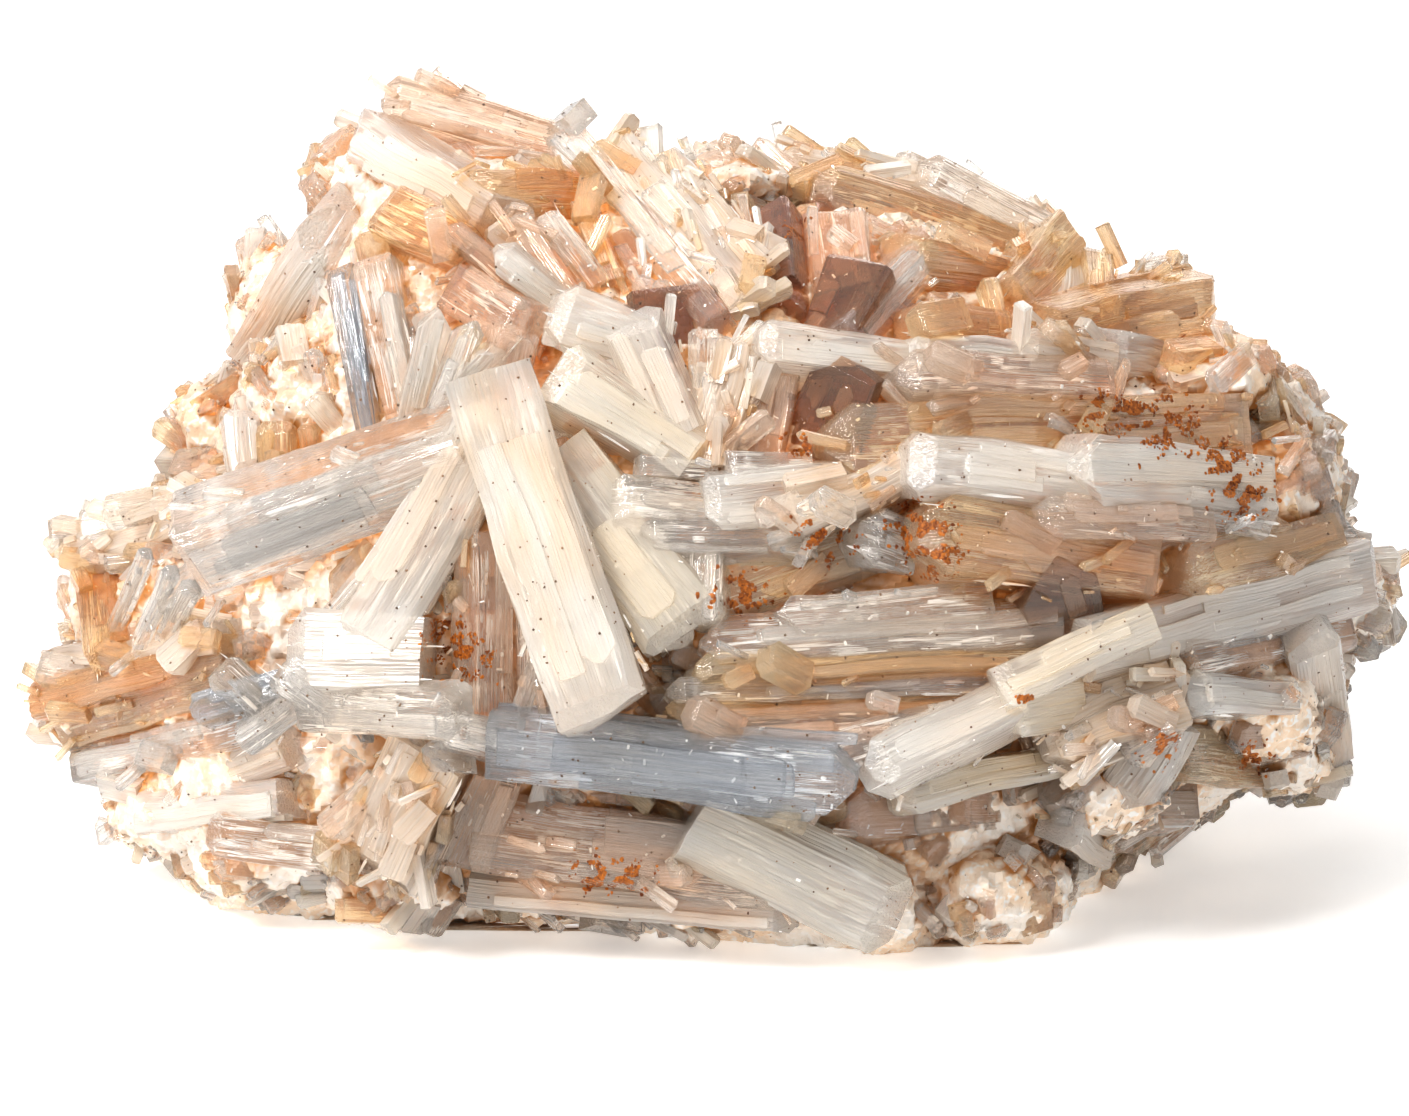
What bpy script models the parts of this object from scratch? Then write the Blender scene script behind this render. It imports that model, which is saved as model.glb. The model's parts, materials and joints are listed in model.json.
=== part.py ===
"""A hand specimen of barite: a lump of massive barite grown over with bladed crystals.

Run with blender --background --python part.py, or from Blender's text editor.
Metres, +Z up, the specimen standing on its worn underside. Its show face looks to -Y.

The places of the crystals are read off the show face, as someone would who holds a ruler in
front of it: millimetres across from the left, millimetres down from the top, and millimetres
that the middle of the crystal stands out of the lump behind it.
"""

import math
import random

import bmesh
import bpy
from mathutils import Matrix, Vector, noise

MM = 0.001

# The show face: it is seen from a little above, from an arm's length away
LOOK_DOWN = math.radians(15)
EYE_DISTANCE = 700.0
EYE_ACROSS, EYE_DOWN = 70.45, 55.8
ORIGIN_ACROSS, ORIGIN_DOWN, ORIGIN_OUT = 71.33, 86.82, -3.28

# The lump of massive barite, as an outline on the show face that swells out to both sides
LUMP_MIDDLE = (70.0, 54.0)
LUMP_OUTLINE = [
    (37, 14.5), (46, 15), (56, 17), (66, 19), (78, 21), (90, 22), (101, 26), (108, 30),
    (117, 35), (126, 39.5), (131.5, 46), (133.5, 56), (133, 66), (130, 73), (122, 79), (112, 86),
    (104, 93), (98, 99), (88, 102), (75, 98), (60, 94), (45, 93), (33, 93), (23, 91.5), (16, 86),
    (12, 78), (10, 70), (10, 60), (13, 54), (19.5, 50), (21.5, 43), (25, 36), (29, 28), (33, 20),
]
LUMP_FRONT, LUMP_BACK = 36.0, 28.0
LUMP_ROUND = 2.4
LUMP_SPOKES = 26
LUMP_RINGS = (0.3, 0.6, 0.8, 0.93)
LUMP_SWELL, LUMP_SWELL_SIZE, LUMP_SWELL_SEED = 1.7, 11.0, 8

# The colours of the crystals: name, base colour, roughness, see-through share
COLOURS = {
    "massive": ((0.80, 0.70, 0.60), 0.55, 0.0),
    "milk": ((0.90, 0.88, 0.86), 0.30, 0.3),
    "cream": ((0.90, 0.83, 0.70), 0.32, 0.3),
    "clear": ((0.90, 0.89, 0.88), 0.10, 0.8),
    "blush": ((0.82, 0.68, 0.57), 0.16, 0.6),
    "honey": ((0.74, 0.56, 0.35), 0.18, 0.5),
    "sugar": ((0.76, 0.68, 0.58), 0.40, 0.4),
    "smoke": ((0.36, 0.24, 0.18), 0.08, 0.8),
    "steel": ((0.55, 0.58, 0.64), 0.08, 0.7),
}

# Rounded lumps on the body: across, down, out, then half its width, height and depth, and the
# least and the most that a corner of one stands out
LUMP_CORNERS = (0.94, 1.12)
LUMPS = [
    (126.5, 49.0, 0, 8.0, 12.0, 20), (134.0, 59.5, -2, 4.9, 6.0, 12), (126.0, 70.0, 4, 8.0, 8.0, 18),
    (128.5, 76.0, 2, 5.0, 3.0, 12), (99.0, 89.0, 16, 8.5, 6.0, 14), (88.5, 90.5, 18, 5.0, 5.5, 13),
    (40.0, 88.0, 14, 8.5, 4.8, 13), (27.0, 86.0, 10, 8.5, 4.6, 12), (17.0, 81.0, 6, 6.0, 4.2, 11),
    (55.0, 88.0, 15, 9.0, 4.2, 13), (72.0, 89.5, 17, 11.0, 4.4, 13), (20.8, 43.2, 0, 3.4, 4.9, 8),
    (27.5, 32.0, 1, 4.4, 7.5, 12), (73.5, 18.5, 2, 6.5, 2.8, 11), (11.5, 60.5, 0, 4.4, 6.6, 12),
    (9.0, 71.0, 2, 4.5, 4.0, 9), (33.0, 40.0, 16, 9.0, 8.5, 8), (37.0, 20.0, 6, 5.5, 7.0, 9),
    (121.0, 38.0, 12, 7.0, 4.5, 10), (108.0, 79.0, 18, 9.0, 5.0, 10),
]

# The crystals of the show face: name, root and tip as (across, down, rise), then its width,
# its thickness, its turn about its own length in degrees, the share of the width that the
# sloping end facets take, and its colour
CRYSTALS = [
    # The top left corner and the ridge
    ("top_beam", (56.0, 15.0, 8), (38.5, 10.2, 7), 4.8, 6.0, 12, 0.5, "blush"),
    ("white_shoulder", (50.5, 22.0, 1), (36.0, 13.5, 9), 6.0, 7.0, -15, 0.4, "milk"),
    ("honey_block", (58.5, 20.0, 1), (46.3, 19.4, 3), 5.0, 6.0, 5, 0.3, "honey"),
    ("tan_wedge", (47.5, 26.0, 1), (39.0, 21.5, 2), 5.8, 6.0, 10, 0.5, "honey"),
    ("sharp_spear", (53.5, 30.4, 0), (44.6, 22.7, 6), 2.4, 2.4, 20, 1.0, "blush"),
    ("milky_spear", (57.5, 31.0, 0), (49.3, 24.9, 6), 2.8, 2.4, -10, 0.9, "milk"),
    ("glassy_prism_a", (57.0, 30.5, 0), (51.2, 21.6, 4), 3.2, 3.0, 15, 0.5, "blush"),
    ("glassy_prism_b", (59.6, 29.0, 0), (54.4, 21.4, 5), 2.6, 3.0, 25, 0.5, "clear"),
    ("glassy_prism_c", (61.5, 28.8, 0), (58.2, 20.5, 3), 2.6, 3.0, 10, 0.4, "honey"),
    ("peach_plate", (46.0, 28.6, 1), (53.0, 33.2, 3), 5.2, 4.0, 8, 0.4, "blush"),
    ("white_disc", (65.0, 34.5, 1), (55.2, 31.0, 4), 6.6, 5.0, 6, 0.6, "milk"),
    ("pale_column", (67.8, 44.0, 1), (62.0, 31.5, 3), 6.2, 6.0, 12, 0.3, "milk"),
    ("pale_band", (68.6, 46.2, 1), (55.0, 37.0, 4), 6.4, 6.0, 10, 0.3, "cream"),
    ("beige_step_a", (50.0, 39.0, 0), (51.8, 32.4, 2), 4.8, 5.0, 10, 0.4, "blush"),
    ("beige_step_b", (45.5, 38.5, 0), (48.8, 33.0, 2), 3.4, 4.0, -15, 0.5, "honey"),
    ("sugar_blade_a", (72.5, 33.5, 2), (56.6, 14.0, 9), 4.0, 6.0, 15, 0.5, "clear"),
    ("sugar_blade_b", (75.6, 31.5, 1), (61.6, 15.2, 8), 4.8, 6.5, -8, 0.5, "sugar"),
    ("sugar_blade_c", (77.0, 28.5, 1), (66.8, 16.8, 7), 4.6, 6.0, 10, 0.4, "sugar"),
    ("ridge_left", (80.5, 20.5, 3), (69.6, 17.4, 7), 5.2, 7.0, 5, 0.5, "sugar"),
    ("ridge_tan", (100.5, 25.4, 2), (80.8, 18.9, 8), 5.0, 7.0, 10, 0.5, "honey"),
    ("ridge_clear", (104.5, 24.3, 2), (91.6, 17.4, 3), 3.8, 6.0, 20, 0.4, "clear"),
    ("ridge_back", (93.0, 19.5, 0), (78.5, 16.8, 0), 4.0, 6.0, 0, 0.4, "sugar"),
    ("tan_block", (100.0, 30.5, 1), (105.8, 24.4, 7), 6.2, 6.5, 12, 0.5, "honey"),
    ("bright_plate", (106.2, 33.4, 2), (106.3, 25.6, 9), 4.0, 3.0, 22, 0.3, "milk"),
    ("round_post", (109.5, 33.4, 2), (109.6, 25.4, 11), 3.0, 4.0, 10, 0.6, "honey"),
    ("right_wedge", (103.5, 33.0, 2), (120.2, 29.8, 7), 6.0, 7.0, 10, 0.5, "honey"),
    # The smoky plates and what stands between them
    ("smoky_wedge", (68.7, 44.4, -1), (67.2, 28.6, 4), 8.8, 2.4, 14, 0.1, "smoke"),
    ("leg_right", (71.0, 47.2, 1), (74.6, 34.2, 3), 5.6, 5.0, -12, 0.3, "sugar"),
    ("leg_beige", (75.4, 46.0, 0), (77.2, 36.5, 1), 5.6, 5.0, 8, 0.3, "blush"),
    ("smoky_post", (77.6, 30.0, 0), (76.8, 21.8, 4), 6.4, 3.4, -32, 0.15, "smoke"),
    ("smoky_bar", (78.5, 31.4, 1), (82.8, 20.2, 7), 3.6, 3.4, 24, 0.5, "smoke"),
    ("smoky_frame", (82.8, 34.6, 0), (86.4, 26.4, 5), 7.0, 3.2, -28, 0.15, "smoke"),
    ("smoky_rim", (81.2, 46.0, 0), (85.4, 36.2, 5), 6.4, 2.2, -20, 0.1, "smoke"),
    ("beige_fill_a", (85.0, 31.0, 0), (83.5, 22.5, 1), 7.0, 5.0, 0, 0.3, "blush"),
    ("grey_blade", (84.3, 34.6, 1), (93.0, 24.2, 5), 4.4, 4.4, 16, 0.4, "clear"),
    ("brown_behind", (100.5, 28.0, 0), (89.3, 25.6, 2), 5.0, 6.0, 8, 0.4, "honey"),
    ("honey_chip", (99.8, 33.4, 0), (90.6, 32.6, 3), 4.6, 5.0, 10, 0.5, "honey"),
    ("small_prism_a", (100.3, 34.8, 1), (98.4, 28.2, 5), 1.8, 2.4, 20, 0.5, "honey"),
    ("small_prism_b", (102.4, 34.8, 1), (101.4, 27.8, 5), 2.2, 2.6, -10, 0.5, "blush"),
    ("white_bar", (92.0, 36.6, 1), (75.6, 34.5, 5), 4.4, 5.0, 14, 0.7, "milk"),
    ("white_strip", (102.2, 35.8, 2), (90.4, 34.8, 4), 2.6, 4.0, 8, 0.5, "milk"),
    ("tan_cap", (110.0, 36.2, 2), (101.4, 34.6, 4), 4.4, 5.0, 5, 0.5, "sugar"),
    ("white_cap", (124.6, 38.6, 1), (108.4, 34.8, 4), 5.0, 6.0, 10, 0.4, "milk"),
    ("grey_glass", (110.2, 38.6, 2), (89.2, 37.9, 5), 4.6, 5.0, 18, 0.7, "blush"),
    ("golden_slab", (123.5, 42.6, 1), (82.0, 44.6, 3), 8.6, 6.0, 6, 0.8, "honey"),
    # The middle
    ("satin_blade", (48.8, 37.8, 5), (60.4, 71.8, 10), 9.6, 6.5, 10, 0.1, "milk"),
    ("cream_panel", (55.5, 45.5, 2), (69.0, 63.5, 4), 8.8, 5.0, -6, 0.2, "cream"),
    ("clear_bar", (47.0, 44.6, 3), (18.8, 55.0, 8), 9.0, 8.4, -32, 0.15, "clear"),
    ("white_leg", (48.5, 43.5, 4), (36.4, 64.5, 4), 6.6, 5.0, 8, 0.5, "milk"),
    ("thin_rod_a", (43.0, 50.0, 3), (31.6, 62.8, 4), 1.4, 1.4, 20, 0.5, "clear"),
    ("thin_rod_b", (45.5, 54.0, 2), (36.6, 66.0, 4), 1.6, 1.5, 40, 0.5, "clear"),
    ("brown_post_a", (48.6, 72.4, 2), (48.7, 53.2, 2), 4.6, 4.4, 24, 0.4, "blush"),
    ("brown_post_b", (53.2, 72.4, 2), (53.0, 59.5, 2), 2.8, 3.6, 14, 0.6, "blush"),
    ("blue_side", (37.8, 43.8, 0), (34.5, 27.0, 5), 2.4, 5.0, -12, 0.4, "steel"),
    ("blue_prism", (41.2, 43.0, 0), (37.4, 25.8, 5), 4.4, 4.6, -6, 0.3, "clear"),
    ("frost_leaf_a", (41.4, 42.6, 1), (43.9, 30.8, 5), 3.4, 2.0, 12, 1.0, "milk"),
    ("frost_leaf_b", (43.6, 42.0, 1), (47.2, 32.2, 5), 3.0, 2.0, -18, 1.0, "clear"),
    ("frost_leaf_c", (45.0, 41.0, 0), (50.2, 35.0, 3), 3.6, 2.4, 10, 0.9, "milk"),
    ("glass_box_a", (71.8, 51.0, 2), (61.3, 50.0, 5), 4.6, 4.6, 16, 0.2, "clear"),
    ("glass_box_b", (85.2, 49.0, 1), (70.0, 50.2, 4), 5.6, 5.0, 8, 0.4, "milk"),
    ("glass_box_c", (81.5, 53.4, 2), (64.0, 53.0, 4), 4.2, 4.4, 20, 0.9, "clear"),
    ("small_box_a", (80.8, 46.4, 2), (72.4, 46.5, 4), 2.8, 3.4, 12, 0.1, "clear"),
    ("small_box_b", (71.4, 47.2, 2), (63.6, 46.6, 4), 2.2, 3.0, 12, 0.1, "clear"),
    ("pink_blade", (92.0, 46.8, 1), (78.4, 52.4, 5), 4.2, 5.0, 12, 0.6, "sugar"),
    ("amber_floor", (87.0, 54.0, -1), (70.5, 59.8, 0), 6.0, 5.0, 0, 0.4, "honey"),
    ("grey_round", (90.4, 55.0, 1), (85.4, 53.4, 4), 6.2, 4.4, 12, 0.7, "clear"),
    ("small_stack_a", (70.6, 55.0, 2), (70.4, 62.6, 4), 4.2, 4.0, 14, 0.5, "clear"),
    ("small_stack_b", (66.0, 57.0, 2), (67.4, 65.0, 3), 4.0, 4.0, -20, 0.5, "milk"),
    # The sheaf of thin blades to the right of the middle
    ("sheaf_top", (106.2, 62.4, 2), (69.8, 64.6, 3), 5.0, 4.4, 12, 1.0, "clear"),
    ("sheaf_upper", (99.0, 60.0, 2), (77.5, 61.8, 3), 3.4, 4.0, 20, 1.0, "clear"),
    ("sheaf_olive", (106.0, 66.0, 2), (69.6, 67.2, 4), 2.8, 4.0, 14, 0.8, "honey"),
    ("sheaf_pale", (104.0, 68.6, 2), (66.8, 69.2, 4), 2.6, 4.0, 10, 0.8, "clear"),
    ("sheaf_gold", (100.0, 70.4, 2), (66.4, 71.2, 4), 2.4, 3.6, 16, 0.8, "honey"),
    ("sheaf_grey", (88.5, 72.4, 3), (68.2, 73.4, 5), 4.2, 4.4, 20, 0.7, "blush"),
    ("sheaf_low", (100.6, 70.6, 3), (83.0, 75.2, 5), 3.8, 4.0, 12, 0.9, "clear"),
    # The right side
    ("white_lump_left", (108.0, 48.4, 3), (90.4, 46.4, 5), 6.6, 6.6, 8, 0.5, "milk"),
    ("white_lump_right", (125.4, 48.4, 2), (105.8, 46.8, 5), 7.4, 6.6, 12, 0.9, "milk"),
    ("clear_corner", (117.5, 50.0, 3), (127.2, 52.0, 4), 6.0, 4.4, 14, 1.0, "clear"),
    ("brown_glass", (120.4, 52.8, 3), (103.4, 51.8, 6), 4.2, 4.6, 20, 0.6, "blush"),
    ("golden_belly", (114.0, 57.2, 1), (91.0, 53.6, 4), 8.4, 8.0, 6, 0.7, "honey"),
    ("tan_right", (132.0, 53.8, 3), (117.6, 57.2, 3), 5.4, 6.0, 8, 0.5, "honey"),
    ("smoky_gable", (107.0, 65.0, 1), (104.6, 55.8, 5), 9.0, 3.0, 12, 1.0, "smoke"),
    ("white_arm", (107.0, 65.0, 3), (136.2, 57.2, 10), 7.2, 7.0, 10, 0.4, "milk"),
    ("arm_underside", (118.0, 66.4, 3), (134.6, 63.4, 7), 4.0, 5.0, -18, 0.7, "clear"),
    ("pale_bar", (114.6, 63.0, 4), (99.8, 69.2, 6), 4.6, 5.4, 16, 0.1, "cream"),
    ("pale_front", (107.5, 69.6, 3), (100.4, 71.0, 5), 5.0, 5.0, -8, 0.3, "cream"),
    ("peach_chunk", (117.0, 69.0, 3), (103.5, 74.0, 4), 8.0, 6.5, 10, 0.5, "sugar"),
    ("white_knob", (127.6, 70.2, 2), (118.0, 69.4, 5), 4.6, 5.0, 14, 0.5, "milk"),
    ("standing_plate", (132.6, 75.4, 3), (130.6, 63.2, 6), 5.6, 4.2, 10, 0.3, "milk"),
    ("brown_pocket", (131.4, 76.4, 1), (116.8, 75.4, 2), 6.0, 4.0, 6, 0.4, "honey"),
    ("white_finger", (117.2, 71.6, 3), (111.4, 80.4, 5), 5.6, 5.0, 14, 0.6, "milk"),
    ("milky_finger", (101.6, 70.0, 3), (86.5, 77.8, 7), 4.8, 5.0, 16, 0.6, "milk"),
    ("yellow_layer", (110.6, 74.8, 2), (89.4, 79.9, 4), 3.8, 5.0, 8, 0.8, "cream"),
    ("lower_slab", (118.0, 80.6, 0), (84.0, 81.8, 1), 5.6, 6.0, 6, 0.6, "blush"),
    ("small_cube", (109.6, 84.8, 1), (106.0, 82.4, 5), 4.0, 4.4, 20, 0.1, "milk"),
    # The left side
    ("pale_shoulder", (25.6, 35.0, 2), (34.8, 21.0, 4), 5.8, 8.0, 8, 0.4, "milk"),
    ("left_column", (24.6, 48.0, 2), (24.2, 41.6, 5), 3.8, 4.6, 14, 0.4, "milk"),
    ("left_tan_stub", (28.2, 48.0, 1), (28.0, 42.2, 3), 3.2, 4.0, -10, 0.4, "honey"),
    ("tan_cornice", (22.5, 50.4, 3), (7.8, 55.6, 4), 4.8, 7.0, 8, 0.5, "sugar"),
    ("tan_wall", (13.6, 67.0, 0), (12.6, 54.6, 3), 10.4, 6.0, 4, 0.3, "honey"),
    ("left_rod_a", (10.6, 65.4, 5), (14.8, 55.2, 8), 1.4, 1.6, 20, 0.5, "clear"),
    ("left_rod_b", (14.0, 64.4, 4), (17.4, 57.0, 8), 1.6, 1.6, 35, 0.5, "clear"),
    ("left_rod_c", (16.6, 64.0, 3), (19.2, 58.6, 7), 2.0, 1.8, 10, 0.5, "clear"),
    ("fan_upper", (23.0, 63.4, 2), (6.6, 67.0, 5), 3.2, 4.4, 10, 0.7, "sugar"),
    ("fan_olive", (23.6, 65.4, 2), (3.9, 70.6, 6), 4.2, 4.0, 14, 0.8, "honey"),
    ("fan_lower", (24.6, 67.6, 2), (6.0, 73.0, 5), 3.6, 4.0, -10, 0.7, "honey"),
    ("low_clear_a", (27.0, 72.4, 2), (8.6, 76.6, 5), 4.6, 5.0, 12, 0.5, "clear"),
    ("low_clear_b", (30.0, 74.6, 1), (12.6, 79.4, 4), 4.2, 5.0, -12, 0.5, "milk"),
    ("silver_shard_a", (29.0, 68.4, 2), (19.0, 71.4, 6), 3.0, 3.0, 20, 0.9, "steel"),
    ("silver_shard_b", (28.0, 72.0, 2), (22.0, 66.8, 6), 3.4, 3.0, 30, 0.5, "clear"),
    ("silver_shard_c", (30.0, 70.0, 3), (24.0, 74.2, 5), 2.8, 3.0, -24, 0.5, "clear"),
    ("milky_shoulder", (43.0, 65.6, 3), (28.8, 65.4, 4), 8.4, 6.0, 8, 0.6, "milk"),
    ("low_prism", (30.8, 70.4, 4), (46.2, 71.2, 8), 5.0, 5.0, 22, 0.5, "clear"),
    ("bright_corner", (34.0, 71.0, 4), (28.2, 67.0, 7), 4.2, 4.4, 16, 0.5, "clear"),
    # The foot of the show face
    ("steel_blade", (49.0, 74.2, 5), (85.6, 78.4, 9), 7.0, 5.0, 14, 0.9, "steel"),
    ("clear_stub", (52.0, 74.6, 4), (44.2, 73.0, 7), 3.8, 4.0, 20, 0.3, "clear"),
    ("silver_chip", (46.5, 76.0, 4), (43.2, 75.4, 7), 3.6, 3.0, 20, 0.8, "clear"),
    ("pale_block", (44.0, 74.5, 2), (37.4, 87.0, 4), 9.6, 7.0, 8, 0.3, "sugar"),
    ("brown_plate", (49.6, 76.5, 2), (45.4, 86.6, 4), 5.6, 4.6, -12, 0.3, "blush"),
    ("long_plate", (47.5, 83.0, 2), (81.0, 87.4, 3), 7.6, 6.4, 8, 0.4, "blush"),
    ("pale_strip", (47.5, 88.6, 4), (80.0, 91.2, 4), 3.6, 6.0, 8, 0.5, "milk"),
    ("cream_chunk", (69.4, 81.2, 3), (90.2, 91.4, 5), 8.4, 8.0, 12, 0.4, "cream"),
    ("foot_slab_a", (40.5, 86.0, 2), (21.0, 83.4, 4), 4.6, 6.0, 10, 0.5, "clear"),
    ("foot_slab_c", (30.0, 80.0, 0), (14.0, 81.6, 4), 4.6, 6.0, 6, 0.5, "milk"),
]

# How a blade is cleaved from its block: how wide the block is at its root against its tip, how
# far it leans out of square, and the least and the most that each bevel takes and slopes
ROOT_SHARE = (0.7, 1.1)
BLOCK_LEAN = 0.22
EDGE_BEVEL, EDGE_SLOPE = (0.08, 0.21), (0.7, 1.4)
END_BEVEL, END_SLOPE, END_SKEW = (0.375, 0.5), (0.85, 1.3), 0.24
FRONT_BEVEL, FRONT_SLOPE = (0.15, 0.4), (0.7, 1.1)

# A blade no thicker than SLIM has one long edge bevelled, and one whose end slopes take less
# than BLUNT of its width has an end face as well
SLIM = 3.2
BLUNT = 0.45

# What is left of the joined mesh's triangles, since its flat faces need fewer
FACETS_KEPT = 0.81
SAME_PLACE = 0.001

# The block that wears the underside flat
FLOOR_SIZE = 400.0

# The rest of the specimen, which a viewer of the show face doesn't see
BACK_COUNT = 46
BACK_REACH = (0.1, 1.0)
BACK_LENGTH, BACK_WIDTH, BACK_THICKNESS = (16.0, 30.0), (4.6, 11.0), (3.6, 6.4)
BACK_LEAN, BACK_ROLL, BACK_ENDS = (0.12, 0.46), 50.0, (0.2, 0.5, 0.9)
BACK_EDGE, BACK_SHORTER, BACK_SHORTEST, BACK_SUNK = 0.96, 0.8, 1.0, 1.0
GOLDEN_TURN = math.pi * (3 - math.sqrt(5))
BACK_COLOURS = ["milk", "blush", "honey", "clear", "sugar", "cream", "smoke"]


def clear_scene():
    for thing in list(bpy.data.objects):
        bpy.data.objects.remove(thing)


def at(across, down, out):
    """The point of the specimen that shows at that place of the show face, in metres."""
    near = (EYE_DISTANCE - out) / EYE_DISTANCE
    right = EYE_ACROSS + (across - EYE_ACROSS) * near - ORIGIN_ACROSS
    up = ORIGIN_DOWN - EYE_DOWN - (down - EYE_DOWN) * near
    back = ORIGIN_OUT - out
    level = up * math.sin(LOOK_DOWN) + back * math.cos(LOOK_DOWN)
    height = up * math.cos(LOOK_DOWN) - back * math.sin(LOOK_DOWN)
    return Vector((right, level, height)) * MM


def lump_radius(turn):
    """How far the lump's outline is from its middle in that direction, counter-clockwise."""
    corners = sorted(
        (math.atan2(LUMP_MIDDLE[1] - down, across - LUMP_MIDDLE[0]),
         math.hypot(across - LUMP_MIDDLE[0], down - LUMP_MIDDLE[1]))
        for across, down in LUMP_OUTLINE
    )
    turn = (turn - corners[0][0]) % math.tau + corners[0][0]
    corners.append((corners[0][0] + math.tau, corners[0][1]))
    for (before, near), (after, far) in zip(corners, corners[1:]):
        if turn <= after:
            return near + (far - near) * (turn - before) / (after - before)
    return corners[0][1]


def bulge(share):
    """The lump's depth at that share of the way from its middle to its outline, from 1 to 0."""
    return max(0.0, 1.0 - share ** LUMP_ROUND) ** (1.0 / LUMP_ROUND)


def share_of(across, down):
    """How far out from the lump's middle a place lies, 1 on the outline."""
    right, up = across - LUMP_MIDDLE[0], LUMP_MIDDLE[1] - down
    return math.hypot(right, up) / lump_radius(math.atan2(up, right))


def on_face(across, down, rise):
    """A point that stands that far out of the lump's front."""
    return at(across, down, LUMP_FRONT * bulge(share_of(across, down)) + rise)


def new_object(name, shape, colour):
    """An object of its own from a bmesh, in its colour."""
    mesh = bpy.data.meshes.new(name)
    shape.to_mesh(mesh)
    shape.free()
    mesh.materials.append(material(colour))
    thing = bpy.data.objects.new(name, mesh)
    bpy.context.scene.collection.objects.link(thing)
    return thing


def material(colour):
    """A Principled BSDF of that colour, made the first time that it is asked for."""
    name = "barite_" + colour
    if name in bpy.data.materials:
        return bpy.data.materials[name]
    base, rough, see_through = COLOURS[colour]
    made = bpy.data.materials.new(name)
    made.use_nodes = True
    made.diffuse_color = (*base, 1.0)
    shader = made.node_tree.nodes["Principled BSDF"]
    shader.inputs["Base Color"].default_value = (*base, 1.0)
    shader.inputs["Roughness"].default_value = rough
    shader.inputs["Metallic"].default_value = 0.0
    shader.inputs["IOR"].default_value = 1.64
    shader.inputs["Transmission Weight"].default_value = see_through
    return made


def uneven(point, strength, size):
    """A point pushed about by a smooth swell of that strength and size, in millimetres."""
    return point + noise.noise_vector(point / (size * MM)) * strength * MM


def body_lump():
    """The lump: rings between its middle and its outline, bulging to the front and the back."""
    noise.seed_set(LUMP_SWELL_SEED)
    shape = bmesh.new()
    turns = [math.tau * spoke / LUMP_SPOKES for spoke in range(LUMP_SPOKES)]

    def ring(share, depth):
        corners = []
        for turn in turns:
            reach = share * lump_radius(turn)
            across = LUMP_MIDDLE[0] + reach * math.cos(turn)
            down = LUMP_MIDDLE[1] - reach * math.sin(turn)
            place = at(across, down, depth * bulge(share))
            corners.append(shape.verts.new(uneven(place, LUMP_SWELL, LUMP_SWELL_SIZE)))
        return corners

    rings = [ring(share, LUMP_FRONT) for share in LUMP_RINGS]
    rings.append(ring(1.0, 0.0))
    rings += [ring(share, -LUMP_BACK) for share in reversed(LUMP_RINGS)]
    for inner, outer in zip(rings, rings[1:]):
        for spoke in range(LUMP_SPOKES):
            after = (spoke + 1) % LUMP_SPOKES
            shape.faces.new((inner[spoke], outer[spoke], outer[after], inner[after]))
    for corners, depth in ((rings[0], LUMP_FRONT), (rings[-1], -LUMP_BACK)):
        middle = shape.verts.new(at(*LUMP_MIDDLE, depth))
        for spoke in range(LUMP_SPOKES):
            shape.faces.new((corners[spoke], corners[(spoke + 1) % LUMP_SPOKES], middle))
    bmesh.ops.recalc_face_normals(shape, faces=shape.faces)
    return new_object("body_lump", shape, "massive")


def rounded_lump(number, across, down, out, half_width, half_height, half_depth):
    """A rough, faceted ball of massive barite."""
    shape = bmesh.new()
    bmesh.ops.create_icosphere(shape, subdivisions=1, radius=1.0)
    chance = random.Random(f"lump {number}")
    for corner in shape.verts:
        ball = corner.co * chance.uniform(*LUMP_CORNERS)
        corner.co = at(
            across + ball.x * half_width, down - ball.z * half_height, out - ball.y * half_depth
        )
    bmesh.ops.recalc_face_normals(shape, faces=shape.faces)
    return new_object(f"lump_{number}", shape, "massive")


def facets(name, long, wide, thick, ends):
    """The planes that cleave a block into a barite blade, as (point, outward normal).

    The block lies from y = 0 to y = long, wide along x and thick along z. A slim blade keeps
    one of its long edges sharp, and only a blunt one has a slanted end face of its own.
    """
    chance = random.Random(name)
    planes = []
    for side in (-1, 1):
        off = chance.uniform(*EDGE_BEVEL) * min(wide, thick)
        slope = chance.uniform(*EDGE_SLOPE)
        if side > 0 or min(wide, thick) > SLIM:
            planes.append((Vector((side * (wide / 2 - off), 0, thick / 2)), Vector((side, 0, slope))))
    for side in (-1, 1):
        off = ends * chance.uniform(*END_BEVEL) * wide
        slope = chance.uniform(*END_SLOPE)
        planes.append((Vector((side * (wide / 2 - off), long, 0)), Vector((side, slope, 0))))
    off = chance.uniform(*FRONT_BEVEL) * thick
    planes.append((Vector((0, long, thick / 2 - off)), Vector((0, chance.uniform(*FRONT_SLOPE), 1))))
    if ends < BLUNT:
        skew = Vector((chance.uniform(-END_SKEW, END_SKEW), 1, chance.uniform(-END_SKEW, END_SKEW)))
        planes.append((Vector((0, long, 0)), skew))
    return planes


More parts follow.
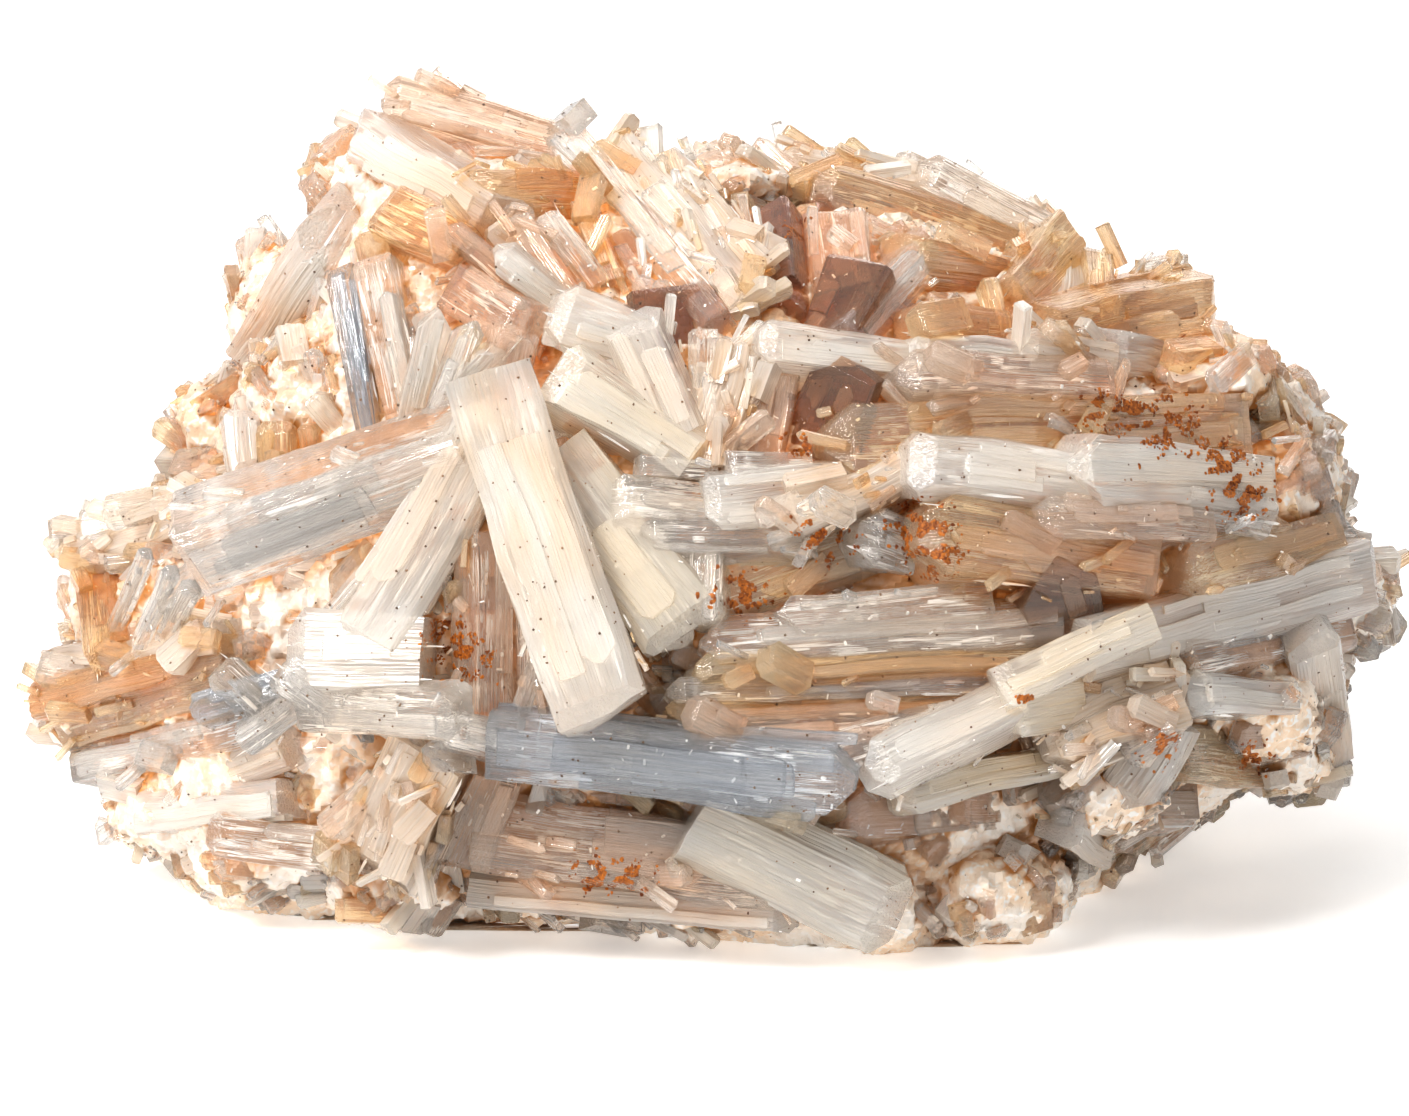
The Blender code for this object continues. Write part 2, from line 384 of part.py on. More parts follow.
def blade(name, root, tip, wide, thick, turn, ends, colour):
    """A crystal from root to tip, two points in metres. At turn 0 its broad side looks out."""
    length = tip - root
    along = length.normalized()
    outward = Vector((0, -math.cos(LOOK_DOWN), math.sin(LOOK_DOWN)))
    face =(outward - along * outward.dot(along)).normalized()
    face = Matrix.Rotation(math.radians(turn), 3, along) @ face
    axes = Matrix((along.cross(face), along, face)).transposed().to_4x4()
    long = length.length
    chance = random.Random("block of " + name)
    root_share, lean = chance.uniform(*ROOT_SHARE), chance.uniform(-BLOCK_LEAN, BLOCK_LEAN)
    shape = bmesh.new()
    bmesh.ops.create_cube(shape, size=1.0)
    for corner in shape.verts:
        share = 1.0 if corner.co.y > 0 else root_share
        across = corner.co.x * wide * share + corner.co.z * thick * lean
        corner.co = Vector((across * MM, (corner.co.y + 0.5) * long, corner.co.z * thick * MM))
    for point, normal in facets(name, long / MM, wide, thick, ends):
        cut = bmesh.ops.bisect_plane(
            shape, geom=shape.verts[:] + shape.edges[:] + shape.faces[:],
            plane_co=point * MM, plane_no=normal.normalized(), clear_outer=True,
        )
        rim = [part for part in cut["geom_cut"] if isinstance(part, bmesh.types.BMEdge)]
        if rim:
            bmesh.ops.contextual_create(shape, geom=rim)
    bmesh.ops.remove_doubles(shape, verts=shape.verts, dist=SAME_PLACE * MM)
    bmesh.ops.recalc_face_normals(shape, faces=shape.faces)
    shape.transform(Matrix.Translation(root) @ axes)
    return new_object(name, shape, colour)


def show_face():
    """The crystals that the show face is known by."""
    return [
        blade(name, on_face(*root), on_face(*tip), wide, thick, turn, ends, colour)
        for name, root, tip, wide, thick, turn, ends, colour in CRYSTALS
    ]


def back_crust():
    """Blades in every direction over the back, spread by the golden angle."""
    chance = random.Random("back")
    made = []
    for number in range(BACK_COUNT):
        reach = BACK_REACH[0] + (BACK_REACH[1] - BACK_REACH[0]) * math.sqrt((number + 0.5) / BACK_COUNT)
        turn = number * GOLDEN_TURN
        across = LUMP_MIDDLE[0] + reach * lump_radius(turn) * math.cos(turn)
        down = LUMP_MIDDLE[1] - reach * lump_radius(turn) * math.sin(turn)
        length, lie = chance.uniform(*BACK_LENGTH), chance.uniform(0, math.tau)
        wide, thick = chance.uniform(*BACK_WIDTH), chance.uniform(*BACK_THICKNESS)
        lean, roll = chance.uniform(*BACK_LEAN), 180 + chance.uniform(-BACK_ROLL, BACK_ROLL)
        ends, colour = chance.choice(BACK_ENDS), chance.choice(BACK_COLOURS)

        half = length / 2
        for_tip, for_root = [Vector((math.cos(lie), math.sin(lie))) * side for side in (1, -1)]
        middle = Vector((across, down))
        while half > BACK_SHORTEST and max(
            share_of(*(middle + for_tip * half)), share_of(*(middle + for_root * half))
        ) > BACK_EDGE:
            half *= BACK_SHORTER
        sunk, risen = [
            LUMP_BACK * bulge(min(1.0, share_of(*(middle + way * half)))) for way in (for_root, for_tip)
        ]
        under = LUMP_BACK * bulge(reach)
        root = at(*(middle + for_root * half), BACK_SUNK - min(sunk, under))
        tip = at(*(middle + for_tip * half), -max(risen, under) - lean * length / 2)
        made.append(blade(f"back_{number}", root, tip, wide, thick, roll, ends, colour))
    return made


def joined(name, body, grown):
    """The body with all that grew on it, as one solid."""
    together = bpy.data.collections.new("grown")
    bpy.context.scene.collection.children.link(together)
    for thing in grown:
        bpy.context.scene.collection.objects.unlink(thing)
        together.objects.link(thing)
    union = body.modifiers.new("grown together", "BOOLEAN")
    union.operation = "UNION"
    union.operand_type = "COLLECTION"
    union.collection = together
    union.solver = "EXACT"
    union.material_mode = "TRANSFER"
    fewer = body.modifiers.new("flat faces in fewer triangles", "DECIMATE")
    fewer.ratio = FACETS_KEPT
    fewer.use_collapse_triangulate = True
    graph = bpy.context.evaluated_depsgraph_get()
    mesh = bpy.data.meshes.new_from_object(body.evaluated_get(graph))
    mesh.name = name
    for thing in [*grown, body]:
        bpy.data.objects.remove(thing)
    return mesh


def outer_skin(mesh):
    """Drops the walls of any hollow that crossing crystals have sealed, and any loose flap."""
    shape = bmesh.new()
    shape.from_mesh(mesh)
    flaps = True
    while flaps:
        flaps = [face for face in shape.faces if any(edge.is_boundary for edge in face.edges)]
        bmesh.ops.delete(shape, geom=flaps, context="FACES")
    seen = set()
    shells = []
    for first in shape.faces:
        if first in seen:
            continue
        seen.add(first)
        shell = [first]
        for face in shell:
            for edge in face.edges:
                for neighbour in edge.link_faces:
                    if neighbour not in seen:
                        seen.add(neighbour)
                        shell.append(neighbour)
        shells.append(shell)
    shells.sort(key=len)
    for shell in shells[:-1]:
        bmesh.ops.delete(shape, geom=shell, context="FACES")
    shape.to_mesh(mesh)
    shape.free()


def worn_flat(thing):
    """The underside, worn level where the specimen stands."""
    shape = bmesh.new()
    bmesh.ops.create_cube(shape, size=FLOOR_SIZE * MM)
    bmesh.ops.translate(shape, verts=shape.verts, vec=(0, 0, -FLOOR_SIZE / 2 * MM))
    floor = new_object("floor_cut", shape, "massive")
    floor.hide_render = True
    floor.display_type = "WIRE"
    cut = thing.modifiers.new("worn flat", "BOOLEAN")
    cut.operation = "DIFFERENCE"
    cut.object = floor
    cut.solver = "EXACT"


def main():
    clear_scene()
    grown = [rounded_lump(number, *lump) for number, lump in enumerate(LUMPS)]
    grown += show_face()
    grown += back_crust()
    mesh = joined("barite_crystal", body_lump(), grown)
    outer_skin(mesh)
    specimen = bpy.data.objects.new("barite_crystal", mesh)
    bpy.context.scene.collection.objects.link(specimen)
    worn_flat(specimen)


main()
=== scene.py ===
import json
import math
import random

import bmesh
import bpy
import numpy
from mathutils import Matrix, Vector, noise
from mathutils.bvhtree import BVHTree

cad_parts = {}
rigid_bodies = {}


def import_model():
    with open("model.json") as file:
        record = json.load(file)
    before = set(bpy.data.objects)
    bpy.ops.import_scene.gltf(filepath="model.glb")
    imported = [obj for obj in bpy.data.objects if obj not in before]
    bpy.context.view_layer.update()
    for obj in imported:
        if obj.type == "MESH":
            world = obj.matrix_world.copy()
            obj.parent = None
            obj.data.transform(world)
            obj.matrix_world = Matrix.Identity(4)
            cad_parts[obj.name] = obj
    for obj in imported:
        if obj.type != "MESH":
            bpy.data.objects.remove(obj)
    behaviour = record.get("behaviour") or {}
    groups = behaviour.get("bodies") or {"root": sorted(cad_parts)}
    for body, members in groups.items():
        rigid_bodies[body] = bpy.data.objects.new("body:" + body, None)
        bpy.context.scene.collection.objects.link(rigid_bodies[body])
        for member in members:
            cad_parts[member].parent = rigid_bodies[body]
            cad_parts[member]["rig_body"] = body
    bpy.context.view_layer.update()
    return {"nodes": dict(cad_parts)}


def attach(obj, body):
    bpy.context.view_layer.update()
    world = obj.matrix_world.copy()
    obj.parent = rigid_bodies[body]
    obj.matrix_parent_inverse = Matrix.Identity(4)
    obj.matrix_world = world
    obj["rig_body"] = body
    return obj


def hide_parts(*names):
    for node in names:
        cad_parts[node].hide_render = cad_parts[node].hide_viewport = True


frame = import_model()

# The show face and the camera
# The specimen is looked at from a little above and an arm's length away. Places on it are read
# off the show face in millimetres: across from the left, down from the top, and out of the lump
MM = 0.001
LOOK_DOWN = math.radians(15)
EYE_DISTANCE = 700.0
EYE_ACROSS, EYE_DOWN = 70.45, 55.8
ORIGIN_ACROSS, ORIGIN_DOWN, ORIGIN_OUT = 71.33, 86.82, -3.28
VIEW_WIDTH = 140.9
SENSOR_WIDTH = 36.0
OUTWARD = Vector((0, -math.cos(LOOK_DOWN), math.sin(LOOK_DOWN)))


def at(across, down, out):
    """The point of the specimen that shows at that place of the show face, in metres."""
    near = (EYE_DISTANCE - out) / EYE_DISTANCE
    right = EYE_ACROSS + (across - EYE_ACROSS) * near - ORIGIN_ACROSS
    up = ORIGIN_DOWN - EYE_DOWN - (down - EYE_DOWN) * near
    back = ORIGIN_OUT - out
    level = up * math.sin(LOOK_DOWN) + back * math.cos(LOOK_DOWN)
    height = up * math.cos(LOOK_DOWN) - back * math.sin(LOOK_DOWN)
    return Vector((right, level, height)) * MM


bpy.ops.object.select_all(action="DESELECT")
eye = at(EYE_ACROSS, EYE_DOWN, EYE_DISTANCE)
bpy.ops.object.camera_add(location=eye, rotation=OUTWARD.to_track_quat("Z", "Y").to_euler())
camera = bpy.context.object
camera.data.sensor_width = SENSOR_WIDTH
camera.data.lens = SENSOR_WIDTH * EYE_DISTANCE / VIEW_WIDTH
camera.data.clip_start, camera.data.clip_end = 0.01, 20.0
bpy.context.scene.camera = camera

# The light table
# A white sweep under and behind the specimen, with a soft box on each side, one above and one
# behind that shines through the crystals. The sweep is bright enough to lose its own edges. The
# sky is brighter to the eye and through crystals than on dull faces, which keeps their shade
FLOOR_REACH = 1.6
SWEEP_BACK, SWEEP_HEIGHT = 0.9, 1.4
SWEEP_WHITE, SWEEP_GLOW = 0.93, 0.38
LIGHTS_AIM = Vector((0, 0, 0.04))
SKY_SEEN, SKY_LIGHTING = 0.92, 0.3
PICTURE_GAMMA = 0.78
SOFT_BOXES = [  # name, place, size, strength in watts
    ("key box", (-0.40, -0.34, 0.56), 0.22, 4.3),
    ("fill box", (0.55, -0.34, 0.30), 0.30, 0.35),
    ("top box", (0.08, 0.12, 0.66), 0.30, 0.9),
    ("back box", (0.12, 0.60, 0.34), 0.45, 1.0),
]

bpy.ops.mesh.primitive_plane_add(size=2 * FLOOR_REACH)
floor = bpy.context.object
floor.name = "white_sweep"
bpy.ops.object.mode_set(mode="EDIT")
bpy.ops.mesh.select_all(action="DESELECT")
bpy.ops.mesh.select_mode(type="EDGE")
sweep = bmesh.from_edit_mesh(floor.data)
for edge in sweep.edges:
    edge.select = all(corner.co.y > 0 for corner in edge.verts)
bmesh.update_edit_mesh(floor.data)
bpy.ops.mesh.extrude_region_move(TRANSFORM_OT_translate={"value": (0, SWEEP_BACK, SWEEP_HEIGHT)})
bpy.ops.object.mode_set(mode="OBJECT")
white = bpy.data.materials.new("white sweep")
white.use_nodes = True
sweep_shader = white.node_tree.nodes["Principled BSDF"]
sweep_shader.inputs["Base Color"].default_value = (SWEEP_WHITE, SWEEP_WHITE, SWEEP_WHITE, 1)
sweep_shader.inputs["Roughness"].default_value = 0.8
sweep_shader.inputs["Specular IOR Level"].default_value = 0.1
sweep_shader.inputs["Emission Color"].default_value = (1, 1, 1, 1)
sweep_shader.inputs["Emission Strength"].default_value = SWEEP_GLOW
floor.data.materials.append(white)

for name, place, size, strength in SOFT_BOXES:
    aim = (Vector(place) - LIGHTS_AIM).to_track_quat("Z", "Y").to_euler()
    bpy.ops.object.light_add(type="AREA", location=place, rotation=aim)
    box = bpy.context.object
    box.name = name
    box.data.shape = "SQUARE"
    box.data.size = size
    box.data.energy = strength

world = bpy.data.worlds.new("white studio")
world.use_nodes = True
bpy.context.scene.world = world
sky = world.node_tree
seen = sky.nodes.new("ShaderNodeLightPath")
strength = sky.nodes.new("ShaderNodeMix")
strength.inputs["A"].default_value = SKY_SEEN
strength.inputs["B"].default_value = SKY_LIGHTING
sky.links.new(seen.outputs["Is Diffuse Ray"], strength.inputs["Factor"])
sky.links.new(strength.outputs["Result"], sky.nodes["Background"].inputs["Strength"])
sky.nodes["Background"].inputs["Color"].default_value = (1, 1, 1, 1)
bpy.context.scene.view_settings.view_transform = "Standard"
bpy.context.scene.view_settings.look = "None"
bpy.context.scene.view_settings.gamma = PICTURE_GAMMA
cycles = bpy.context.scene.cycles
cycles.max_bounces = 9
cycles.diffuse_bounces = 4
cycles.glossy_bounces = 3
cycles.transmission_bounces = 8
cycles.transparent_max_bounces = 10
cycles.adaptive_threshold = 0.04
cycles.volume_bounces = 0

# The massive body
# The lump of granular white to peach barite that all the crystals grew on, with 20 rounded lumps
# on it, worn flat underneath. It is one mass, so it is remeshed in one skin and roughened in grains
LUMP_MIDDLE = (70.0, 54.0)
LUMP_OUTLINE = [
    (37, 14.5), (46, 15), (56, 17), (66, 19), (78, 21), (90, 22), (101, 26), (108, 30),
    (117, 35), (126, 39.5), (131.5, 46), (133.5, 56), (133, 66), (130, 73), (122, 79), (112, 86),
    (104, 93), (98, 99), (88, 102), (75, 98), (60, 94), (45, 93), (33, 93), (23, 91.5), (16, 86),
    (12, 78), (10, 70), (10, 60), (13, 54), (19.5, 50), (21.5, 43), (25, 36), (29, 28), (33, 20),
]
LUMP_FRONT, LUMP_BACK = 36.0, 28.0
LUMP_ROUND = 2.4
LUMP_SWELL, LUMP_SWELL_SIZE, LUMP_SWELL_SEED = 1.7, 11.0, 8
LUMPS = [  # across, down, out, then half its width, height and depth
    (126.5, 49.0, 0, 8.0, 12.0, 20), (134.0, 59.5, -2, 4.9, 6.0, 12), (126.0, 70.0, 4, 8.0, 8.0, 18),
    (128.5, 76.0, 2, 5.0, 3.0, 12), (99.0, 89.0, 16, 8.5, 6.0, 14), (88.5, 90.5, 18, 5.0, 5.5, 13),
    (40.0, 88.0, 14, 8.5, 4.8, 13), (27.0, 86.0, 10, 8.5, 4.6, 12), (17.0, 81.0, 6, 6.0, 4.2, 11),
    (55.0, 88.0, 15, 9.0, 4.2, 13), (72.0, 89.5, 17, 11.0, 4.4, 13), (20.8, 43.2, 0, 3.4, 4.9, 8),
    (27.5, 32.0, 1, 4.4, 7.5, 12), (73.5, 18.5, 2, 6.5, 2.8, 11), (11.5, 60.5, 0, 4.4, 6.6, 12),
    (9.0, 71.0, 2, 4.5, 4.0, 9), (33.0, 40.0, 16, 9.0, 8.5, 8), (37.0, 20.0, 6, 5.5, 7.0, 9),
    (121.0, 38.0, 12, 7.0, 4.5, 10), (108.0, 79.0, 18, 9.0, 5.0, 10),
]
LUMP_SIZE = 0.95
SKIN_STEP = 0.62
GRAIN_SIZE, GRAIN_RELIEF = 2.2, 1.5
CHIP_SIZE, CHIP_RELIEF = 0.9, 0.5
GRAIN_LEVEL = 0.7
BODY_RINGS, BODY_SEGMENTS, LUMP_SUBDIVISIONS = 40, 72, 3


def lump_radius(turn):
    """How far the lump's outline is from its middle in that direction, counter-clockwise."""
    corners = sorted(
        (math.atan2(LUMP_MIDDLE[1] - down, across - LUMP_MIDDLE[0]),
         math.hypot(across - LUMP_MIDDLE[0], down - LUMP_MIDDLE[1]))
        for across, down in LUMP_OUTLINE
    )
    turn = (turn - corners[0][0]) % math.tau + corners[0][0]
    corners.append((corners[0][0] + math.tau, corners[0][1]))
    for (before, near), (after, far) in zip(corners, corners[1:]):
        if turn <= after:
            return near + (far - near) * (turn - before) / (after - before)
    return corners[0][1]


def bulge(share):
    """The lump's depth at that share of the way from its middle to its outline, from 1 to 0."""
    return max(0.0, 1.0 - share ** LUMP_ROUND) ** (1.0 / LUMP_ROUND)


def share_of(across, down):
    """How far out from the lump's middle a place lies, 1 on the outline."""
    right, up = across - LUMP_MIDDLE[0], LUMP_MIDDLE[1] - down
    return math.hypot(right, up) / lump_radius(math.atan2(up, right))


def on_face(across, down, rise):
    """A point that stands that far out of the lump's front."""
    return at(across, down, LUMP_FRONT * bulge(share_of(across, down)) + rise)


def lump_skin(ball):
    """Where a point of a unit ball comes to lie on the lump."""
    share = min(1.0, math.hypot(ball.x, ball.z)) ** (2 / LUMP_ROUND)
    depth = abs(ball.y) ** (2 / LUMP_ROUND) * (LUMP_FRONT if ball.y < 0 else -LUMP_BACK)
    turn = math.atan2(ball.z, ball.x)
    reach = share * lump_radius(turn)
    place = at(
        LUMP_MIDDLE[0] + reach * math.cos(turn), LUMP_MIDDLE[1] - reach * math.sin(turn), depth
    )
    return place + noise.noise_vector(place / (LUMP_SWELL_SIZE * MM)) * LUMP_SWELL * MM


def join(things, name):
    """The things as one, under that name."""
    bpy.ops.object.select_all(action="DESELECT")
    for thing in things:
        thing.select_set(True)
    bpy.context.view_layer.objects.active = things[0]
    if len(things) > 1:
        bpy.ops.object.join()
    things[0].name = name
    things[0].data.name = name
    return things[0]


def modify(thing, kind, **settings):
    """Puts a modifier on it, sets it and applies it."""
    bpy.ops.object.select_all(action="DESELECT")
    thing.select_set(True)
    bpy.context.view_layer.objects.active = thing
    made = thing.modifiers.new(kind.lower(), kind)
    for key, value in settings.items():
        setattr(made, key, value)
    bpy.ops.object.modifier_apply(modifier=made.name)


def cut_level(thing, height, keep_above=True):
    """Cuts the thing off level at that height and closes it there."""
    bpy.ops.object.select_all(action="DESELECT")
    thing.select_set(True)
    bpy.context.view_layer.objects.active = thing
    bpy.ops.object.mode_set(mode="EDIT")
    bpy.ops.mesh.select_all(action="SELECT")
    bpy.ops.mesh.bisect(
        plane_co=(0, 0, height), plane_no=(0, 0, 1), use_fill=True,
        clear_inner=keep_above, clear_outer=not keep_above,
    )
    bpy.ops.object.mode_set(mode="OBJECT")


noise.seed_set(LUMP_SWELL_SEED)
bpy.ops.mesh.primitive_uv_sphere_add(segments=BODY_SEGMENTS, ring_count=BODY_RINGS, radius=1)
body = bpy.context.object
for corner in body.data.vertices:
    corner.co = lump_skin(corner.co)
mass = [body]
for across, down, out, half_width, half_height, half_depth in LUMPS:
    bpy.ops.mesh.primitive_ico_sphere_add(subdivisions=LUMP_SUBDIVISIONS, radius=LUMP_SIZE)
    ball = bpy.context.object
    for corner in ball.data.vertices:
        round_place = corner.co.copy()
        corner.co = at(
            across + round_place.x * half_width, down - round_place.z * half_height,
            out - round_place.y * half_depth,
        )
    mass.append(ball)
body = join(mass, "massive_body")
modify(body, "REMESH", mode="VOXEL", voxel_size=SKIN_STEP * MM)
for name, size, relief, metric in (
    ("grains", GRAIN_SIZE, GRAIN_RELIEF, "CHEBYCHEV"), ("chips", CHIP_SIZE, CHIP_RELIEF, "MANHATTAN"),
):
    grains = bpy.data.textures.new(name, "VORONOI")
    grains.noise_scale = size * MM
    grains.distance_metric = metric
    modify(
        body, "DISPLACE", texture=grains, texture_coords="LOCAL", mid_level=GRAIN_LEVEL,
        strength=-relief * MM,
    )
cut_level(body, 0.0)

# What all the finishes share
# Barite has silky lines along its length and cloudy veils, and painted shade deepens it to its root.
# The lines are built once here, as shares that every finish places, and veils are noted on points
BARITE_IOR = 1.64
SILK_ACROSS, SILK_ALONG, SILK_EDGES = 4.2, 0.11, (0.38, 0.62)
SILK_DEPTH = 0.2
SHADE_TO_ROOT, TINT_DEEPER, TONE_EDGES = -0.6, 0.8, (-0.35, 0.75)
CLOUD_WHITE = (0.97, 0.955, 0.93, 1)
CLOUD_ROUGHER = 0.14
LAMP_THROUGH_LEAST, LAMP_THROUGH_MORE, LAMP_THROUGH_MOST = 0.5, 0.48, 0.94


def note(mesh, kind, name, values):
    """Notes a value, or a vector, at each point of the mesh."""
    made = mesh.attributes.new(name, kind, "POINT")
    made.data.foreach_set("vector" if kind == "FLOAT_VECTOR" else "value", numpy.ravel(values))


def group(name, takes, gives):
    """A shader node group with those named inputs and outputs."""
    made = bpy.data.node_groups.new(name, "ShaderNodeTree")
    for label, kind, value in takes:
        socket = made.interface.new_socket(label, in_out="INPUT", socket_type="NodeSocket" + kind)
        socket.default_value = value
    for label, kind in gives:
        made.interface.new_socket(label, in_out="OUTPUT", socket_type="NodeSocket" + kind)
    return made, made.nodes.new("NodeGroupInput"), made.nodes.new("NodeGroupOutput")


def feed(tree, socket, value):
    """Links an output to the socket, or sets the socket to a plain value."""
    if isinstance(value, bpy.types.NodeSocket):
        tree.links.new(value, socket)
    elif value is not None:
        socket.default_value = value


def add(tree, kind, *feeds, **settings):
    """Adds a node of that kind, set and fed in the order of its inputs."""
    made = tree.nodes.new("ShaderNode" + kind)
    for key, value in settings.items():
        setattr(made, key, value)
    for socket, value in zip(made.inputs, feeds):
        feed(tree, socket, value)
    return made


def sum_of(tree, operation, *values):
    """One step of arithmetic."""
    return add(tree, "Math", *values, operation=operation).outputs[0]


def between(tree, value, low, high, start=0.0, end=1.0):
    """start below low, end above high, and smooth between."""
    made = add(tree, "MapRange", value, low, high, start, end, interpolation_type="SMOOTHSTEP")
    return made.outputs[0]


def stretched(tree, vector, across, along, through):
    """The vector with each of its parts multiplied."""
    return add(tree, "VectorMath", vector, (across, along, through), operation="MULTIPLY").outputs[0]


def blend(tree, share, under, over):
    """One colour over another by a share."""
    made = add(tree, "Mix", data_type="RGBA")
    for socket, value in zip((made.inputs[0], made.inputs[6], made.inputs[7]), (share, under, over)):
        feed(tree, socket, value)
    return made.outputs[2]


def clouds(tree, vector, scale, detail=1.0, rough=0.6):
    """Soft noise over a vector, 0 to 1."""
    made = add(tree, "TexNoise")
    feed(tree, made.inputs["Vector"], vector)
    for key, value in (("Scale", scale), ("Detail", detail), ("Roughness", rough)):
        made.inputs[key].default_value = value
    return made.outputs["Fac"]


lines, lines_in, lines_out = group(
    "silky lines", [("Lay", "Vector", (0, 0, 0))], [("Lines", "Float"), ("Height", "Float")]
)
drawn_out = stretched(lines, lines_in.outputs["Lay"], SILK_ACROSS, SILK_ALONG, SILK_ACROSS)
height = clouds(lines, drawn_out, 1.0)
feed(lines, lines_out.inputs["Lines"], between(lines, height, *SILK_EDGES))
feed(lines, lines_out.inputs["Height"], height)

tones_and_shade, tones_in, tones_out = group(
    "tones along a crystal",
    [("Share", "Float", 0), ("Tint", "Float", 0), ("Veil", "Float", 0), ("Lines", "Float", 0),
     ("Veiled", "Float", 0), ("Lined", "Float", 0), ("Pale", "Color", (1, 1, 1, 1)),
     ("Deep", "Color", (1, 1, 1, 1))],
    [("Colour", "Color"), ("White", "Float")],
)
takes = tones_in.outputs
# Each crystal has its own tone, and painted shade deepens its colour from the tip to the root
depth = sum_of(tones_and_shade, "MULTIPLY", takes["Tint"], TINT_DEEPER)
depth = sum_of(tones_and_shade, "MULTIPLY_ADD", takes["Share"], SHADE_TO_ROOT, depth)
toned_and_shaded = blend(tones_and_shade, between(tones_and_shade, depth, *TONE_EDGES), takes["Pale"], takes["Deep"])
white = sum_of(tones_and_shade, "MULTIPLY", takes["Veil"], takes["Veiled"])
white = sum_of(tones_and_shade, "MULTIPLY_ADD", takes["Lines"], takes["Lined"], white)
feed(tones_and_shade, tones_out.inputs["Colour"], blend(tones_and_shade, white, toned_and_shaded, CLOUD_WHITE))
feed(tones_and_shade, tones_out.inputs["White"], white)


def finish(name, pale, deep, rough, through, veiled, lined, bump=0.8, absorbs=None):
    """A finish for crystals. pale and deep are its colours at the tip and at the root, through is
    how clear it is, veiled and lined how cloudy and how fibrous it looks, and bump how deep its
    silky lines are. absorbs is the colour and the density of what it soaks up. Lamps shine on
    through a crystal, which glass alone would stop."""
    made = bpy.data.materials.new(name)
    made.use_nodes = True
    tree = made.node_tree
    shader = tree.nodes["Principled BSDF"]
    silk = tree.nodes.new("ShaderNodeGroup")
    silk.node_tree = lines
    feed(tree, silk.inputs["Lay"], add(tree, "Attribute", attribute_name="lay").outputs["Vector"])
    tone = tree.nodes.new("ShaderNodeGroup")
    tone.node_tree = tones_and_shade
    for label in ("Share", "Tint", "Veil"):
        noted = add(tree, "Attribute", attribute_name=label.lower()).outputs["Fac"]
        feed(tree, tone.inputs[label], noted)
    feed(tree, tone.inputs["Lines"], silk.outputs["Lines"])
    own = {"Veiled": veiled, "Lined": lined, "Pale": (*pale, 1), "Deep": (*deep, 1)}
    for label, value in own.items():
        tone.inputs[label].default_value = value
    feed(tree, shader.inputs["Base Color"], tone.outputs["Colour"])
    roughness = sum_of(tree, "MULTIPLY_ADD", tone.outputs["White"], CLOUD_ROUGHER, rough)
    feed(tree, shader.inputs["Roughness"], roughness)
    raised = add(tree, "Bump")
    raised.inputs["Strength"].default_value = bump
    raised.inputs["Distance"].default_value = SILK_DEPTH * MM
    feed(tree, raised.inputs["Height"], silk.outputs["Height"])
    feed(tree, shader.inputs["Normal"], raised.outputs["Normal"])
    shader.inputs["IOR"].default_value = BARITE_IOR
    shader.inputs["Transmission Weight"].default_value = through
    lets = min(LAMP_THROUGH_MOST, LAMP_THROUGH_LEAST + LAMP_THROUGH_MORE * through)
    passing = add(tree, "BsdfTransparent", (*(part * lets for part in pale), 1))
    lamp_ray = tree.nodes.new("ShaderNodeLightPath").outputs["Is Shadow Ray"]
    lit = add(tree, "MixShader", lamp_ray, shader.outputs[0], passing.outputs[0])
    tree.links.new(lit.outputs[0], tree.nodes["Material Output"].inputs["Surface"])
    if absorbs:
        soaks = add(tree, "VolumeAbsorption", (*absorbs[0], 1), absorbs[1])
        tree.links.new(soaks.outputs[0], tree.nodes["Material Output"].inputs["Volume"])
    return made


def piece(things, name, material, smooth=14):
    """Joins blocks in one piece of the specimen, shaded flat but for slight bends, and finished."""
    made = join(things, name)
    made.data.materials.clear()
    made.data.materials.append(material)
    bpy.ops.object.shade_smooth_by_angle(angle=math.radians(smooth))
    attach(made, "root")
    return made


# How a crystal grows
# Barite blades are cleaved blocks: bevelled long edges, sloping ends and an end face. Each has a
# few thinner leaves grown along it, and its faces are stepped and a little uneven along its length
ROOT_SHARE = (0.7, 1.1)
BLOCK_LEAN = 0.22
EDGE_BEVEL, EDGE_SLOPE = (0.08, 0.21), (0.7, 1.4)
END_BEVEL, END_SLOPE, END_SKEW = (0.375, 0.5), (0.85, 1.3), 0.24
FRONT_BEVEL, FRONT_SLOPE = (0.15, 0.4), (0.7, 1.1)
SLIM, BLUNT = 3.2, 0.45
WORN_EDGE, WORN_LEAF = 0.13, 0.6
CUT_ACROSS, CUT_ALONG = 2.4, 1.3
RIDGE_SIZE, RIDGE_STRETCH, DENT_SIZE, WARP_SIZE = 1.1, 16.0, 2.6, 8.0
RIDGE_SHARE, DENT_SHARE = 0.55, 0.45
VEIL_SIZE, VEIL_STRETCH, VEIL_CONTRAST, VEIL_LEVEL = 3.2, 2.5, 2.4, 0.4
MERGED = 0.02
LAY_SPREAD = 500
LEAVES_MOST, LEAVES_LEAST, LEAVES_AREA = 9, 2, 45
LEAF_WIDE, LEAF_START, LEAF_REACH, LEAF_PROUD = (0.16, 0.5), (0.0, 0.4), (0.6, 0.99), (0.05, 0.3)
THIN_LEAF, THICK_LEAF, LEAF_ROOT = (0.5, 1.2), (0.7, 1.6), (0.7, 1.0)
LEAF_TURN, LEAF_TINT, LEAF_RELIEF = 1.6, 0.08, 0.6
LEAF_ENDS = (0.2, 0.5, 0.9)
GROWN = []


